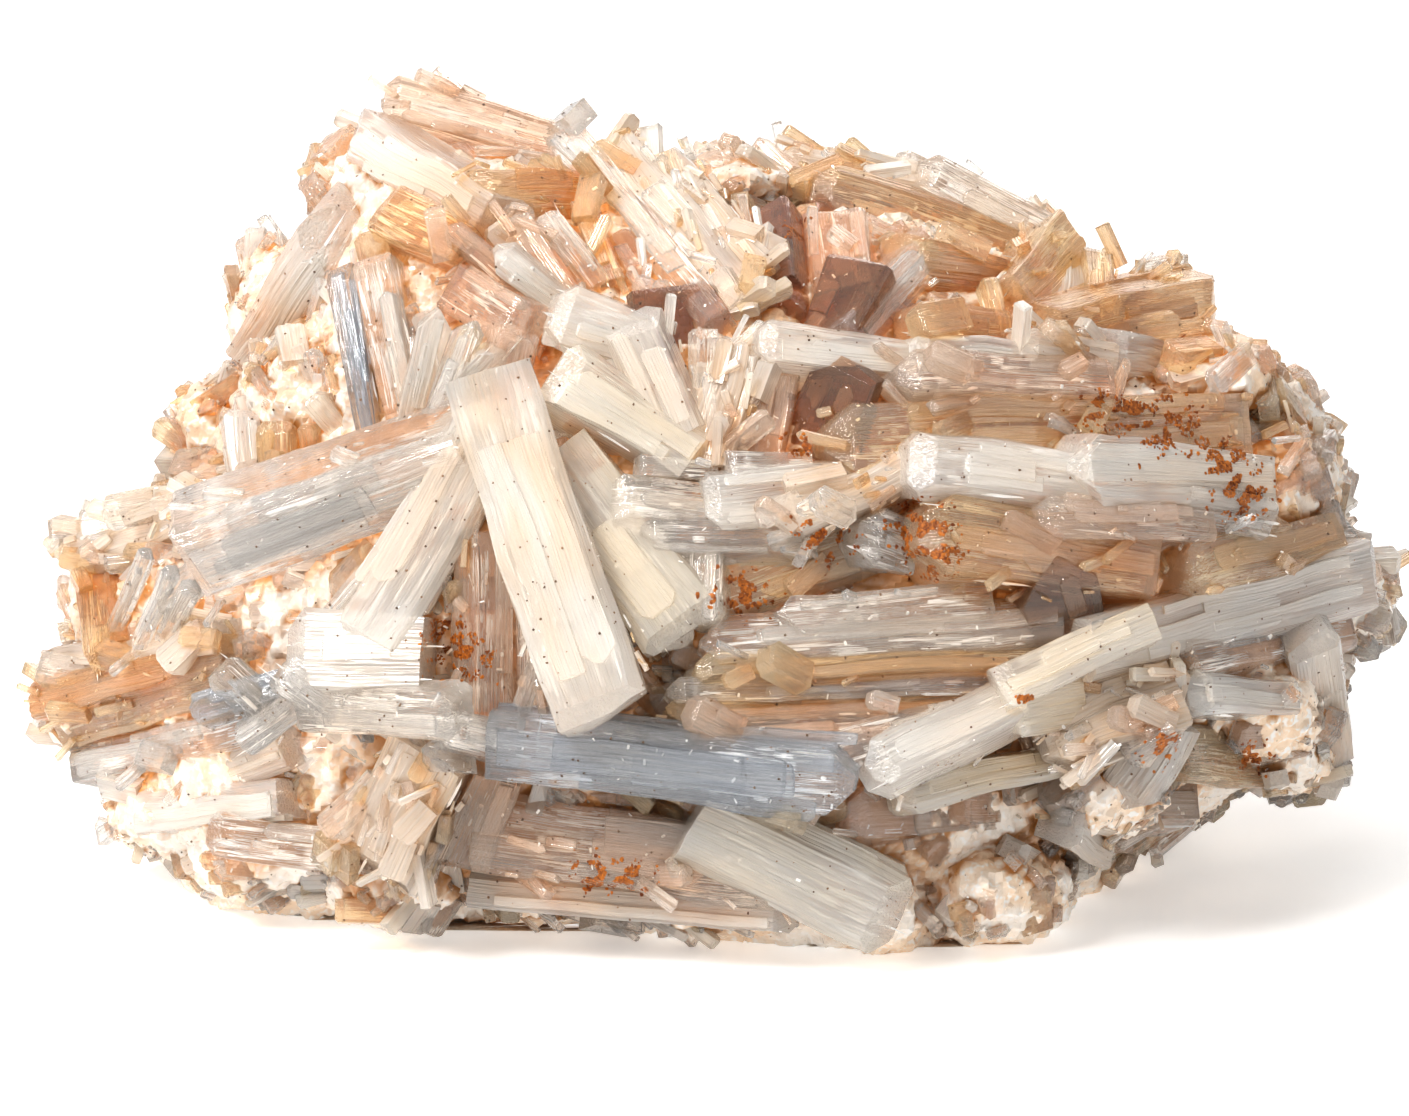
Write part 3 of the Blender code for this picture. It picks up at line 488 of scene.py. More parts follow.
def facets(chance, long, wide, thick, ends):
    """The planes that cleave a block into a blade, as (point, outward normal), in millimetres."""
    planes = []
    for side in (-1, 1):
        off = chance.uniform(*EDGE_BEVEL) * min(wide, thick)
        slope = chance.uniform(*EDGE_SLOPE)
        if side > 0 or min(wide, thick) > SLIM:
            planes.append(((side * (wide / 2 - off), 0, thick / 2), (side, 0, slope)))
    for side in (-1, 1):
        off = ends * chance.uniform(*END_BEVEL) * wide
        slope = chance.uniform(*END_SLOPE)
        planes.append(((side * (wide / 2 - off), long, 0), (side, slope, 0)))
    off = chance.uniform(*FRONT_BEVEL) * thick
    planes.append(((0, long, thick / 2 - off), (0, chance.uniform(*FRONT_SLOPE), 1)))
    if ends < BLUNT:
        skew = (chance.uniform(-END_SKEW, END_SKEW), 1, chance.uniform(-END_SKEW, END_SKEW))
        planes.append(((0, long, 0), skew))
    return planes


def pick(thing, test):
    """In edit mode, selects the points that pass the test and nothing else."""
    shape = bmesh.from_edit_mesh(thing.data)
    for corner in shape.verts:
        corner.select = test(corner.co)
    shape.select_flush(True)
    bmesh.update_edit_mesh(thing.data)


def cleaved(long, wide, thick, root_share, lean, planes, worn=WORN_EDGE, cuts=True):
    """A block that lies along +Y from 0, in millimetres, cleaved by the planes, its edges worn."""
    bpy.ops.object.select_all(action="DESELECT")
    bpy.ops.mesh.primitive_cube_add(size=1.0)
    thing = bpy.context.object
    bpy.ops.object.mode_set(mode="EDIT")
    bpy.ops.mesh.select_mode(type="VERT")
    bpy.ops.transform.resize(value=(wide, long, thick))
    bpy.ops.transform.translate(value=(0, long / 2, 0))
    pick(thing, lambda place: place.y < long / 2)
    bpy.ops.transform.resize(value=(root_share, 1, 1))
    for side in (-1, 1):
        pick(thing, lambda place: place.z * side > 0)
        bpy.ops.transform.translate(value=(side * thick * lean / 2, 0, 0))
    for point, normal in planes:
        bpy.ops.mesh.select_all(action="SELECT")
        bpy.ops.mesh.bisect(plane_co=point, plane_no=normal, use_fill=True, clear_outer=True)
    bpy.ops.mesh.select_all(action="SELECT")
    bpy.ops.mesh.remove_doubles(threshold=MERGED)
    if worn:
        bpy.ops.mesh.bevel(offset=worn, segments=1, affect="EDGES", clamp_overlap=True)
    if cuts:
        across, along = max(1, round(long / CUT_ACROSS)), max(1, round(wide / CUT_ALONG))
        through = max(1, round(thick / CUT_ALONG))
        slices = [((0, long * cut / across, 0), (0, 1, 0)) for cut in range(1, across)]
        slices += [((wide * (cut / along - 0.5), 0, 0), (1, 0, 0)) for cut in range(1, along)]
        slices += [((0, 0, thick * (cut / through - 0.5)), (0, 0, 1)) for cut in range(1, through)]
        for point, normal in slices:
            bpy.ops.mesh.select_all(action="SELECT")
            bpy.ops.mesh.bisect(plane_co=point, plane_no=normal)
    bpy.ops.mesh.select_all(action="SELECT")
    bpy.ops.mesh.normals_make_consistent(inside=False)
    bpy.ops.object.mode_set(mode="OBJECT")
    return thing


def settle(thing, axes, root, long, tint, lay_from, relief, warp):
    """Warps and roughens a block along its length, puts it in place, and cuts it off at the floor.
    What the finishes need is noted at its points: where in the crystal each lies, how far towards
    the tip, the crystal's own tone, and how cloudy it is."""
    mesh = thing.data
    moved, lays, veils = [], [], []
    for corner in mesh.vertices:
        place = corner.co
        lay = place + lay_from
        ridge = noise.noise(Vector((lay.x, lay.y / RIDGE_STRETCH, lay.z)) / RIDGE_SIZE)
        dent = noise.noise(lay / DENT_SIZE)
        place = place + corner.normal * (ridge * RIDGE_SHARE + dent * DENT_SHARE) * relief
        place = place + noise.noise_vector(lay / WARP_SIZE) * warp
        moved.append(root + axes @ (place * MM))
        lays.append(lay)
        cloud = noise.noise(Vector((lay.x, lay.y / VEIL_STRETCH, lay.z)) / VEIL_SIZE)
        veils.append(cloud * VEIL_CONTRAST + VEIL_LEVEL)
    shares = numpy.clip([corner.co.y / long for corner in mesh.vertices], 0, 1)
    note(mesh, "FLOAT_VECTOR", "lay", lays)
    note(mesh, "FLOAT", "share", shares)
    note(mesh, "FLOAT", "tint", numpy.full(len(lays), tint))
    note(mesh, "FLOAT", "veil", numpy.clip(veils, 0, 1))
    mesh.vertices.foreach_set("co", numpy.ravel(moved))
    mesh.update()
    if max(place.z for place in moved) < 0:
        bpy.data.objects.remove(thing)
        return []
    if min(place.z for place in moved) < 0:
        cut_level(thing, 0.0)
    return [thing]


def crystal(name, root, tip, wide, thick, turn, ends, leaves=1.0, relief=0.2, warp=0.35, thin=False):
    """A crystal from root to tip with its leaves, which may be thin. At turn 0 its broad side
    looks out."""
    length = tip - root
    along = length.normalized()
    face = (OUTWARD - along * OUTWARD.dot(along)).normalized()
    face = Matrix.Rotation(math.radians(turn), 3, along) @ face
    axes = Matrix((along.cross(face), along, face)).transposed()
    long = length.length / MM
    chance = random.Random("block of " + name)
    root_share, lean = chance.uniform(*ROOT_SHARE), chance.uniform(-BLOCK_LEAN, BLOCK_LEAN)
    planes = facets(random.Random(name), long, wide, thick, ends)
    GROWN.append((root, axes, long, wide, thick, name))
    grow = random.Random("leaves of " + name)
    tint = grow.random()
    lay_from = Vector([grow.uniform(-LAY_SPREAD, LAY_SPREAD) for _ in range(3)])
    block = cleaved(long, wide, thick, root_share, lean, planes)
    made = settle(block, axes, root, long, tint, lay_from, relief, warp)
    for _ in range(round(leaves * min(LEAVES_MOST, LEAVES_LEAST + long * wide / LEAVES_AREA))):
        leaf_wide = wide * grow.uniform(*LEAF_WIDE)
        if thin:
            leaf_thick = grow.uniform(*THIN_LEAF)
        else:
            leaf_thick = min(thick * 0.9, leaf_wide * grow.uniform(*THICK_LEAF))
        start = long * grow.uniform(*LEAF_START)
        leaf_long = long * grow.uniform(*LEAF_REACH) - start
        proud = grow.uniform(*LEAF_PROUD)
        side = grow.choice((-1, 0, 0, 0, 1))
        narrow = 1 - (1 - root_share) * (1 - start / long)
        if side:
            shift = Vector((side * (wide * narrow / 2 - leaf_wide / 2 + proud), start,
                            grow.uniform(-0.5, 0.4) * (thick - leaf_thick)))
        else:
            shift = Vector((grow.uniform(-0.45, 0.45) * (wide * narrow - leaf_wide), start,
                            (thick - leaf_thick) / 2 + proud))
        off = Matrix.Rotation(math.radians(grow.gauss(0, LEAF_TURN)), 3, "Z")
        leaf_planes = facets(grow, leaf_long, leaf_wide, leaf_thick, grow.choice(LEAF_ENDS))
        leaf = cleaved(leaf_long, leaf_wide, leaf_thick, grow.uniform(*LEAF_ROOT), 0, leaf_planes,
                       worn=WORN_EDGE * WORN_LEAF)
        for corner in leaf.data.vertices:
            corner.co = off @ corner.co + shift
        leaf_tint = tint + grow.uniform(-LEAF_TINT, LEAF_TINT)
        made += settle(leaf, axes, root, long, leaf_tint, lay_from, relief * LEAF_RELIEF, warp)
    return [join(made, name)] if made else []


def show_crystals(rows, **settings):
    """Grows the crystals of a table: name, root and tip as (across, down, rise), width, thickness,
    turn about its own length in degrees, and the share of the width that the end slopes take."""
    grown = []
    for name, root, tip, wide, thick, turn, ends in rows:
        grown += crystal(name, on_face(*root), on_face(*tip), wide, thick, turn, ends, **settings)
    return grown


# Milky crystals
# White satiny blades and lumps, half clear and full of clouds, with silky lines along their length
MILKY_ROWS = [
    ("white_shoulder", (50.5, 22.0, 1), (36.0, 13.5, 9), 6.0, 7.0, -15, 0.4),
    ("milky_spear", (57.5, 31.0, 0), (49.3, 24.9, 6), 2.8, 2.4, -10, 0.9),
    ("white_disc", (65.0, 34.5, 1), (55.2, 31.0, 4), 6.6, 5.0, 6, 0.6),
    ("pale_column", (67.8, 44.0, 1), (62.0, 31.5, 3), 6.2, 6.0, 12, 0.3),
    ("bright_plate", (106.2, 33.4, 2), (106.3, 25.6, 9), 4.0, 3.0, 22, 0.3),
    ("white_bar", (92.0, 36.6, 1), (75.6, 34.5, 5), 4.4, 5.0, 14, 0.7),
    ("white_strip", (102.2, 35.8, 2), (90.4, 34.8, 4), 2.6, 4.0, 8, 0.5),
    ("white_cap", (124.6, 38.6, 1), (108.4, 34.8, 4), 5.0, 6.0, 10, 0.4),
    ("satin_blade", (48.8, 37.8, 5), (60.4, 71.8, 10), 9.6, 6.5, 10, 0.1),
    ("white_leg", (48.5, 43.5, 4), (36.4, 64.5, 4), 6.6, 5.0, 8, 0.5),
    ("frost_leaf_a", (41.4, 42.6, 1), (43.9, 30.8, 5), 3.4, 2.0, 12, 1.0),
    ("frost_leaf_c", (45.0, 41.0, 0), (50.2, 35.0, 3), 3.6, 2.4, 10, 0.9),
    ("glass_box_b", (85.2, 49.0, 1), (70.0, 50.2, 4), 5.6, 5.0, 8, 0.4),
    ("small_stack_b", (66.0, 57.0, 2), (67.4, 65.0, 3), 4.0, 4.0, -20, 0.5),
    ("white_lump_left", (108.0, 48.4, 3), (90.4, 46.4, 5), 6.6, 6.6, 8, 0.5),
    ("white_lump_right", (125.4, 48.4, 2), (105.8, 46.8, 5), 7.4, 6.6, 12, 0.9),
    ("white_arm", (107.0, 65.0, 3), (136.2, 57.2, 10), 7.2, 7.0, 10, 0.4),
    ("white_knob", (127.6, 70.2, 2), (118.0, 69.4, 5), 4.6, 5.0, 14, 0.5),
    ("standing_plate", (132.6, 75.4, 3), (130.6, 63.2, 6), 5.6, 4.2, 10, 0.3),
    ("white_finger", (117.2, 71.6, 3), (111.4, 80.4, 5), 5.6, 5.0, 14, 0.6),
    ("milky_finger", (101.6, 70.0, 3), (86.5, 77.8, 7), 4.8, 5.0, 16, 0.6),
    ("small_cube", (109.6, 84.8, 1), (106.0, 82.4, 5), 4.0, 4.4, 20, 0.1),
    ("pale_shoulder", (25.6, 35.0, 2), (34.8, 21.0, 4), 5.8, 8.0, 8, 0.4),
    ("left_column", (24.6, 48.0, 2), (24.2, 41.6, 5), 3.8, 4.6, 14, 0.4),
    ("low_clear_b", (30.0, 74.6, 1), (12.6, 79.4, 4), 4.2, 5.0, -12, 0.5),
    ("milky_shoulder", (43.0, 65.6, 3), (28.8, 65.4, 4), 8.4, 6.0, 8, 0.6),
    ("pale_strip", (47.5, 88.6, 4), (80.0, 91.2, 4), 3.6, 6.0, 8, 0.5),
    ("foot_slab_c", (30.0, 80.0, 0), (14.0, 81.6, 4), 4.6, 6.0, 6, 0.5),
]
milky = finish("milky barite", (1.0, 0.96, 0.91), (0.97, 0.84, 0.70), 0.04, 0.55, 0.65, 0.2)
grown = show_crystals(MILKY_ROWS, leaves=0.7, relief=0.28, warp=0.5, thin=True)
piece(grown, "milky_crystals", milky)

# Cream crystals
# Thick satiny layers, ivory to pale yellow
CREAM_ROWS = [
    ("pale_band", (68.6, 46.2, 1), (55.0, 37.0, 4), 6.4, 6.0, 10, 0.3),
    ("cream_panel", (55.5, 45.5, 2), (69.0, 63.5, 4), 8.8, 5.0, -6, 0.2),
    ("pale_bar", (114.6, 63.0, 4), (99.8, 69.2, 6), 4.6, 5.4, 16, 0.1),
    ("pale_front", (107.5, 69.6, 3), (100.4, 71.0, 5), 5.0, 5.0, -8, 0.3),
    ("yellow_layer", (110.6, 74.8, 2), (89.4, 79.9, 4), 3.8, 5.0, 8, 0.8),
    ("cream_chunk", (69.4, 81.2, 3), (90.2, 91.4, 5), 8.4, 8.0, 12, 0.4),
]
cream = finish("cream barite", (1.0, 0.93, 0.82), (0.97, 0.81, 0.58), 0.05, 0.52, 0.5, 0.2)
grown = show_crystals(CREAM_ROWS, leaves=0.7, relief=0.28, warp=0.5, thin=True)
piece(grown, "cream_crystals", cream)

# Clear crystals
# Glassy colourless blades with cloudy veils and crackled cleavage inside
CLEAR_ROWS = [
    ("glassy_prism_b", (59.6, 29.0, 0), (54.4, 21.4, 5), 2.6, 3.0, 25, 0.5),
    ("sugar_blade_a", (72.5, 33.5, 2), (56.6, 14.0, 9), 4.0, 6.0, 15, 0.5),
    ("ridge_clear", (104.5, 24.3, 2), (91.6, 17.4, 3), 3.8, 6.0, 20, 0.4),
    ("grey_blade", (84.3, 34.6, 1), (93.0, 24.2, 5), 4.4, 4.4, 16, 0.4),
    ("clear_bar", (47.0, 44.6, 3), (18.8, 55.0, 8), 9.0, 8.4, -32, 0.15),
    ("thin_rod_a", (43.0, 50.0, 3), (31.6, 62.8, 4), 1.4, 1.4, 20, 0.5),
    ("thin_rod_b", (45.5, 54.0, 2), (36.6, 66.0, 4), 1.6, 1.5, 40, 0.5),
    ("blue_prism", (41.2, 43.0, 0), (37.4, 25.8, 5), 4.4, 4.6, -6, 0.3),
    ("frost_leaf_b", (43.6, 42.0, 1), (47.2, 32.2, 5), 3.0, 2.0, -18, 1.0),
    ("glass_box_a", (71.8, 51.0, 2), (61.3, 50.0, 5), 4.6, 4.6, 16, 0.2),
    ("glass_box_c", (81.5, 53.4, 2), (64.0, 53.0, 4), 4.2, 4.4, 20, 0.9),
    ("small_box_a", (80.8, 46.4, 2), (72.4, 46.5, 4), 2.8, 3.4, 12, 0.1),
    ("small_box_b", (71.4, 47.2, 2), (63.6, 46.6, 4), 2.2, 3.0, 12, 0.1),
    ("grey_round", (90.4, 55.0, 1), (85.4, 53.4, 4), 6.2, 4.4, 12, 0.7),
    ("small_stack_a", (70.6, 55.0, 2), (70.4, 62.6, 4), 4.2, 4.0, 14, 0.5),
    ("sheaf_top", (106.2, 62.4, 2), (69.8, 64.6, 3), 5.0, 4.4, 12, 1.0),
    ("sheaf_upper", (99.0, 60.0, 2), (77.5, 61.8, 3), 3.4, 4.0, 20, 1.0),
    ("sheaf_pale", (104.0, 68.6, 2), (66.8, 69.2, 4), 2.6, 4.0, 10, 0.8),
    ("sheaf_low", (100.6, 70.6, 3), (83.0, 75.2, 5), 3.8, 4.0, 12, 0.9),
    ("clear_corner", (117.5, 50.0, 3), (127.2, 52.0, 4), 6.0, 4.4, 14, 1.0),
    ("arm_underside", (118.0, 66.4, 3), (134.6, 63.4, 7), 4.0, 5.0, -18, 0.7),
    ("left_rod_a", (10.6, 65.4, 5), (14.8, 55.2, 8), 1.4, 1.6, 20, 0.5),
    ("left_rod_b", (14.0, 64.4, 4), (17.4, 57.0, 8), 1.6, 1.6, 35, 0.5),
    ("left_rod_c", (16.6, 64.0, 3), (19.2, 58.6, 7), 2.0, 1.8, 10, 0.5),
    ("low_clear_a", (27.0, 72.4, 2), (8.6, 76.6, 5), 4.6, 5.0, 12, 0.5),
    ("silver_shard_b", (28.0, 72.0, 2), (22.0, 66.8, 6), 3.4, 3.0, 30, 0.5),
    ("silver_shard_c", (30.0, 70.0, 3), (24.0, 74.2, 5), 2.8, 3.0, -24, 0.5),
    ("low_prism", (30.8, 70.4, 4), (46.2, 71.2, 8), 5.0, 5.0, 22, 0.5),
    ("bright_corner", (34.0, 71.0, 4), (28.2, 67.0, 7), 4.2, 4.4, 16, 0.5),
    ("clear_stub", (52.0, 74.6, 4), (44.2, 73.0, 7), 3.8, 4.0, 20, 0.3),
    ("silver_chip", (46.5, 76.0, 4), (43.2, 75.4, 7), 3.6, 3.0, 20, 0.8),
    ("foot_slab_a", (40.5, 86.0, 2), (21.0, 83.4, 4), 4.6, 6.0, 10, 0.5),
]
clear = finish("clear barite", (0.99, 0.97, 0.95), (0.96, 0.88, 0.79), 0.01, 0.82, 0.4, 0.15)
grown = show_crystals(CLEAR_ROWS, leaves=0.7, relief=0.3, warp=0.3, thin=True)
piece(grown, "clear_crystals", clear, 15)

# Pink-brown crystals
# Translucent blades with a blush, between clear and honey
BLUSH_ROWS = [
    ("top_beam", (56.0, 15.0, 8), (38.5, 10.2, 7), 4.8, 6.0, 12, 0.5),
    ("sharp_spear", (53.5, 30.4, 0), (44.6, 22.7, 6), 2.4, 2.4, 20, 1.0),
    ("glassy_prism_a", (57.0, 30.5, 0), (51.2, 21.6, 4), 3.2, 3.0, 15, 0.5),
    ("peach_plate", (46.0, 28.6, 1), (53.0, 33.2, 3), 5.2, 4.0, 8, 0.4),
    ("beige_step_a", (50.0, 39.0, 0), (51.8, 32.4, 2), 4.8, 5.0, 10, 0.4),
    ("leg_beige", (75.4, 46.0, 0), (77.2, 36.5, 1), 5.6, 5.0, 8, 0.3),
    ("beige_fill_a", (85.0, 31.0, 0), (83.5, 22.5, 1), 7.0, 5.0, 0, 0.3),
    ("small_prism_b", (102.4, 34.8, 1), (101.4, 27.8, 5), 2.2, 2.6, -10, 0.5),
    ("grey_glass", (110.2, 38.6, 2), (89.2, 37.9, 5), 4.6, 5.0, 18, 0.7),
    ("brown_post_a", (48.6, 72.4, 2), (48.7, 53.2, 2), 4.6, 4.4, 24, 0.4),
    ("brown_post_b", (53.2, 72.4, 2), (53.0, 59.5, 2), 2.8, 3.6, 14, 0.6),
    ("sheaf_grey", (88.5, 72.4, 3), (68.2, 73.4, 5), 4.2, 4.4, 20, 0.7),
    ("brown_glass", (120.4, 52.8, 3), (103.4, 51.8, 6), 4.2, 4.6, 20, 0.6),
    ("lower_slab", (118.0, 80.6, 0), (84.0, 81.8, 1), 5.6, 6.0, 6, 0.6),
    ("brown_plate", (49.6, 76.5, 2), (45.4, 86.6, 4), 5.6, 4.6, -12, 0.3),
    ("long_plate", (47.5, 83.0, 2), (81.0, 87.4, 3), 7.6, 6.4, 8, 0.4),
]
blush = finish("blush barite", (0.97, 0.86, 0.76), (0.90, 0.67, 0.48), 0.02, 0.76, 0.3, 0.15)
grown = show_crystals(BLUSH_ROWS, leaves=0.7, relief=0.3, warp=0.4, thin=True)
piece(grown, "blush_crystals", blush, 18)

# Honey crystals
# Golden to tan translucent slabs and stubs with fine specks
HONEY_ROWS = [
    ("honey_block", (58.5, 20.0, 1), (46.3, 19.4, 3), 5.0, 6.0, 5, 0.3),
    ("tan_wedge", (47.5, 26.0, 1), (39.0, 21.5, 2), 5.8, 6.0, 10, 0.5),
    ("glassy_prism_c", (61.5, 28.8, 0), (58.2, 20.5, 3), 2.6, 3.0, 10, 0.4),
    ("beige_step_b", (45.5, 38.5, 0), (48.8, 33.0, 2), 3.4, 4.0, -15, 0.5),
    ("ridge_tan", (100.5, 25.4, 2), (80.8, 18.9, 8), 5.0, 7.0, 10, 0.5),
    ("tan_block", (100.0, 30.5, 1), (105.8, 24.4, 7), 6.2, 6.5, 12, 0.5),
    ("round_post", (109.5, 33.4, 2), (109.6, 25.4, 11), 3.0, 4.0, 10, 0.6),
    ("right_wedge", (103.5, 33.0, 2), (120.2, 29.8, 7), 6.0, 7.0, 10, 0.5),
    ("brown_behind", (100.5, 28.0, 0), (89.3, 25.6, 2), 5.0, 6.0, 8, 0.4),
    ("honey_chip", (99.8, 33.4, 0), (90.6, 32.6, 3), 4.6, 5.0, 10, 0.5),
    ("small_prism_a", (100.3, 34.8, 1), (98.4, 28.2, 5), 1.8, 2.4, 20, 0.5),
    ("golden_slab", (123.5, 42.6, 1), (82.0, 44.6, 3), 8.6, 6.0, 6, 0.8),
    ("amber_floor", (87.0, 54.0, -1), (70.5, 59.8, 0), 6.0, 5.0, 0, 0.4),
    ("sheaf_olive", (106.0, 66.0, 2), (69.6, 67.2, 4), 2.8, 4.0, 14, 0.8),
    ("sheaf_gold", (100.0, 70.4, 2), (66.4, 71.2, 4), 2.4, 3.6, 16, 0.8),
    ("golden_belly", (114.0, 57.2, 1), (91.0, 53.6, 4), 8.4, 8.0, 6, 0.7),
    ("tan_right", (132.0, 53.8, 3), (117.6, 57.2, 3), 5.4, 6.0, 8, 0.5),
    ("brown_pocket", (131.4, 76.4, 1), (116.8, 75.4, 2), 6.0, 4.0, 6, 0.4),
    ("left_tan_stub", (28.2, 48.0, 1), (28.0, 42.2, 3), 3.2, 4.0, -10, 0.4),
    ("tan_wall", (13.6, 67.0, 0), (12.6, 54.6, 3), 10.4, 6.0, 4, 0.3),
    ("fan_olive", (23.6, 65.4, 2), (3.9, 70.6, 6), 4.2, 4.0, 14, 0.8),
    ("fan_lower", (24.6, 67.6, 2), (6.0, 73.0, 5), 3.6, 4.0, -10, 0.7),
]
honey = finish("honey barite", (0.96, 0.80, 0.56), (0.86, 0.56, 0.27), 0.03, 0.72, 0.25, 0.15)
grown = show_crystals(HONEY_ROWS, leaves=0.7, relief=0.32, warp=0.5, thin=True)
piece(grown, "honey_crystals", honey, 18)

# Sugary crystals
# Beige blades grown over with grains that glint
SUGAR_ROWS = [
    ("sugar_blade_b", (75.6, 31.5, 1), (61.6, 15.2, 8), 4.8, 6.5, -8, 0.5),
    ("sugar_blade_c", (77.0, 28.5, 1), (66.8, 16.8, 7), 4.6, 6.0, 10, 0.4),
    ("ridge_left", (80.5, 20.5, 3), (69.6, 17.4, 7), 5.2, 7.0, 5, 0.5),
    ("ridge_back", (93.0, 19.5, 0), (78.5, 16.8, 0), 4.0, 6.0, 0, 0.4),
    ("leg_right", (71.0, 47.2, 1), (74.6, 34.2, 3), 5.6, 5.0, -12, 0.3),
    ("tan_cap", (110.0, 36.2, 2), (101.4, 34.6, 4), 4.4, 5.0, 5, 0.5),
    ("pink_blade", (92.0, 46.8, 1), (78.4, 52.4, 5), 4.2, 5.0, 12, 0.6),
    ("peach_chunk", (117.0, 69.0, 3), (103.5, 74.0, 4), 8.0, 6.5, 10, 0.5),
    ("tan_cornice", (22.5, 50.4, 3), (7.8, 55.6, 4), 4.8, 7.0, 8, 0.5),
    ("fan_upper", (23.0, 63.4, 2), (6.6, 67.0, 5), 3.2, 4.4, 10, 0.7),
    ("pale_block", (44.0, 74.5, 2), (37.4, 87.0, 4), 9.6, 7.0, 8, 0.3),
]
sugar = finish("sugary barite", (0.95, 0.85, 0.74), (0.88, 0.69, 0.50), 0.08, 0.45, 0.35, 0.2)
grown = show_crystals(SUGAR_ROWS, relief=0.36, warp=0.8)
piece(grown, "sugary_crystals", sugar, 8)

# Smoky plates
# Thin clear brown plates whose sides and rims look nearly black because more of them is looked
# through there
SMOKY_ROWS = [
    ("smoky_wedge", (68.7, 44.4, -1), (67.2, 28.6, 4), 8.8, 2.4, 14, 0.1),
    ("smoky_post", (77.6, 30.0, 0), (76.8, 21.8, 4), 6.4, 3.4, -32, 0.15),
    ("smoky_bar", (78.5, 31.4, 1), (82.8, 20.2, 7), 3.6, 3.4, 24, 0.5),
    ("smoky_frame", (82.8, 34.6, 0), (86.4, 26.4, 5), 7.0, 3.2, -28, 0.15),
    ("smoky_rim", (81.2, 46.0, 0), (85.4, 36.2, 5), 6.4, 2.2, -20, 0.1),
    ("smoky_gable", (107.0, 65.0, 1), (104.6, 55.8, 5), 9.0, 3.0, 12, 1.0),
]
smoky = finish("smoky barite", (0.82, 0.66, 0.52), (0.66, 0.46, 0.31), 0.02, 0.86, 0.06, 0.03,
               bump=0.4, absorbs=((0.66, 0.42, 0.22), 520.0))
grown = show_crystals(SMOKY_ROWS, relief=0.08, leaves=0.3, warp=0.2, thin=True)
piece(grown, "smoky_plates", smoky, 15)

# Steel blue blades
# Clear blades with a cold blue cast, scratched along their length
STEEL_ROWS = [
    ("blue_side", (37.8, 43.8, 0), (34.5, 27.0, 5), 2.4, 5.0, -12, 0.4),
    ("silver_shard_a", (29.0, 68.4, 2), (19.0, 71.4, 6), 3.0, 3.0, 20, 0.9),
    ("steel_blade", (49.0, 74.2, 5), (85.6, 78.4, 9), 7.0, 5.0, 14, 0.9),
]
steel = finish("steel blue barite", (0.82, 0.84, 0.87), (0.62, 0.64, 0.68), 0.01, 0.84, 0.25, 0.3)
grown = show_crystals(STEEL_ROWS, relief=0.3, warp=0.4, thin=True)
piece(grown, "steel_blades", steel, 15)

# The back and the sides
# Blades in every direction over the rest of the lump, spread by the golden angle, in all finishes
BACK_COUNT = 46
BACK_REACH = (0.1, 1.0)
BACK_LENGTH, BACK_WIDTH, BACK_THICKNESS = (16.0, 30.0), (4.6, 11.0), (3.6, 6.4)
BACK_LEAN, BACK_ROLL, BACK_ENDS = (0.12, 0.46), 50.0, (0.2, 0.5, 0.9)
BACK_EDGE, BACK_SHORTER, BACK_SHORTEST, BACK_SUNK = 0.96, 0.8, 1.0, 1.0
GOLDEN_TURN = math.pi * (3 - math.sqrt(5))
BACK_COLOURS = ["milk", "blush", "honey", "clear", "sugar", "cream", "smoke"]
BACK_FINISHES = {
    "milk": (milky, "milky"), "blush": (blush, "honey"), "honey": (honey, "honey"),
    "clear": (clear, "clear"), "sugar": (sugar, "milky"), "cream": (cream, "milky"),
    "smoke": (smoky, "smoky"),
}

chance = random.Random("back")
back_blocks = {colour: [] for colour in BACK_COLOURS}
for number in range(BACK_COUNT):
    reach = BACK_REACH[0] + (BACK_REACH[1] - BACK_REACH[0]) * math.sqrt((number + 0.5) / BACK_COUNT)
    turn = number * GOLDEN_TURN
    across = LUMP_MIDDLE[0] + reach * lump_radius(turn) * math.cos(turn)
    down = LUMP_MIDDLE[1] - reach * lump_radius(turn) * math.sin(turn)
    length, lie = chance.uniform(*BACK_LENGTH), chance.uniform(0, math.tau)
    wide, thick = chance.uniform(*BACK_WIDTH), chance.uniform(*BACK_THICKNESS)
    lean, roll = chance.uniform(*BACK_LEAN), 180 + chance.uniform(-BACK_ROLL, BACK_ROLL)
    ends, colour = chance.choice(BACK_ENDS), chance.choice(BACK_COLOURS)
    half = length / 2
    for_tip, for_root = [Vector((math.cos(lie), math.sin(lie))) * side for side in (1, -1)]
    middle = Vector((across, down))
    while half > BACK_SHORTEST and max(
        share_of(*(middle + for_tip * half)), share_of(*(middle + for_root * half))
    ) > BACK_EDGE:
        half *= BACK_SHORTER
    sunk, risen = [
        LUMP_BACK * bulge(min(1.0, share_of(*(middle + way * half)))) for way in (for_root, for_tip)
    ]
    under = LUMP_BACK * bulge(reach)
    root = at(*(middle + for_root * half), BACK_SUNK - min(sunk, under))
    tip = at(*(middle + for_tip * half), -max(risen, under) - lean * length / 2)
    back_blocks[colour] += crystal(f"back_{number}", root, tip, wide, thick, roll, ends)
for colour, blocks in back_blocks.items():
    material, slot_name = BACK_FINISHES[colour]
    piece(blocks, f"back_{colour}_crystals", material, 18)

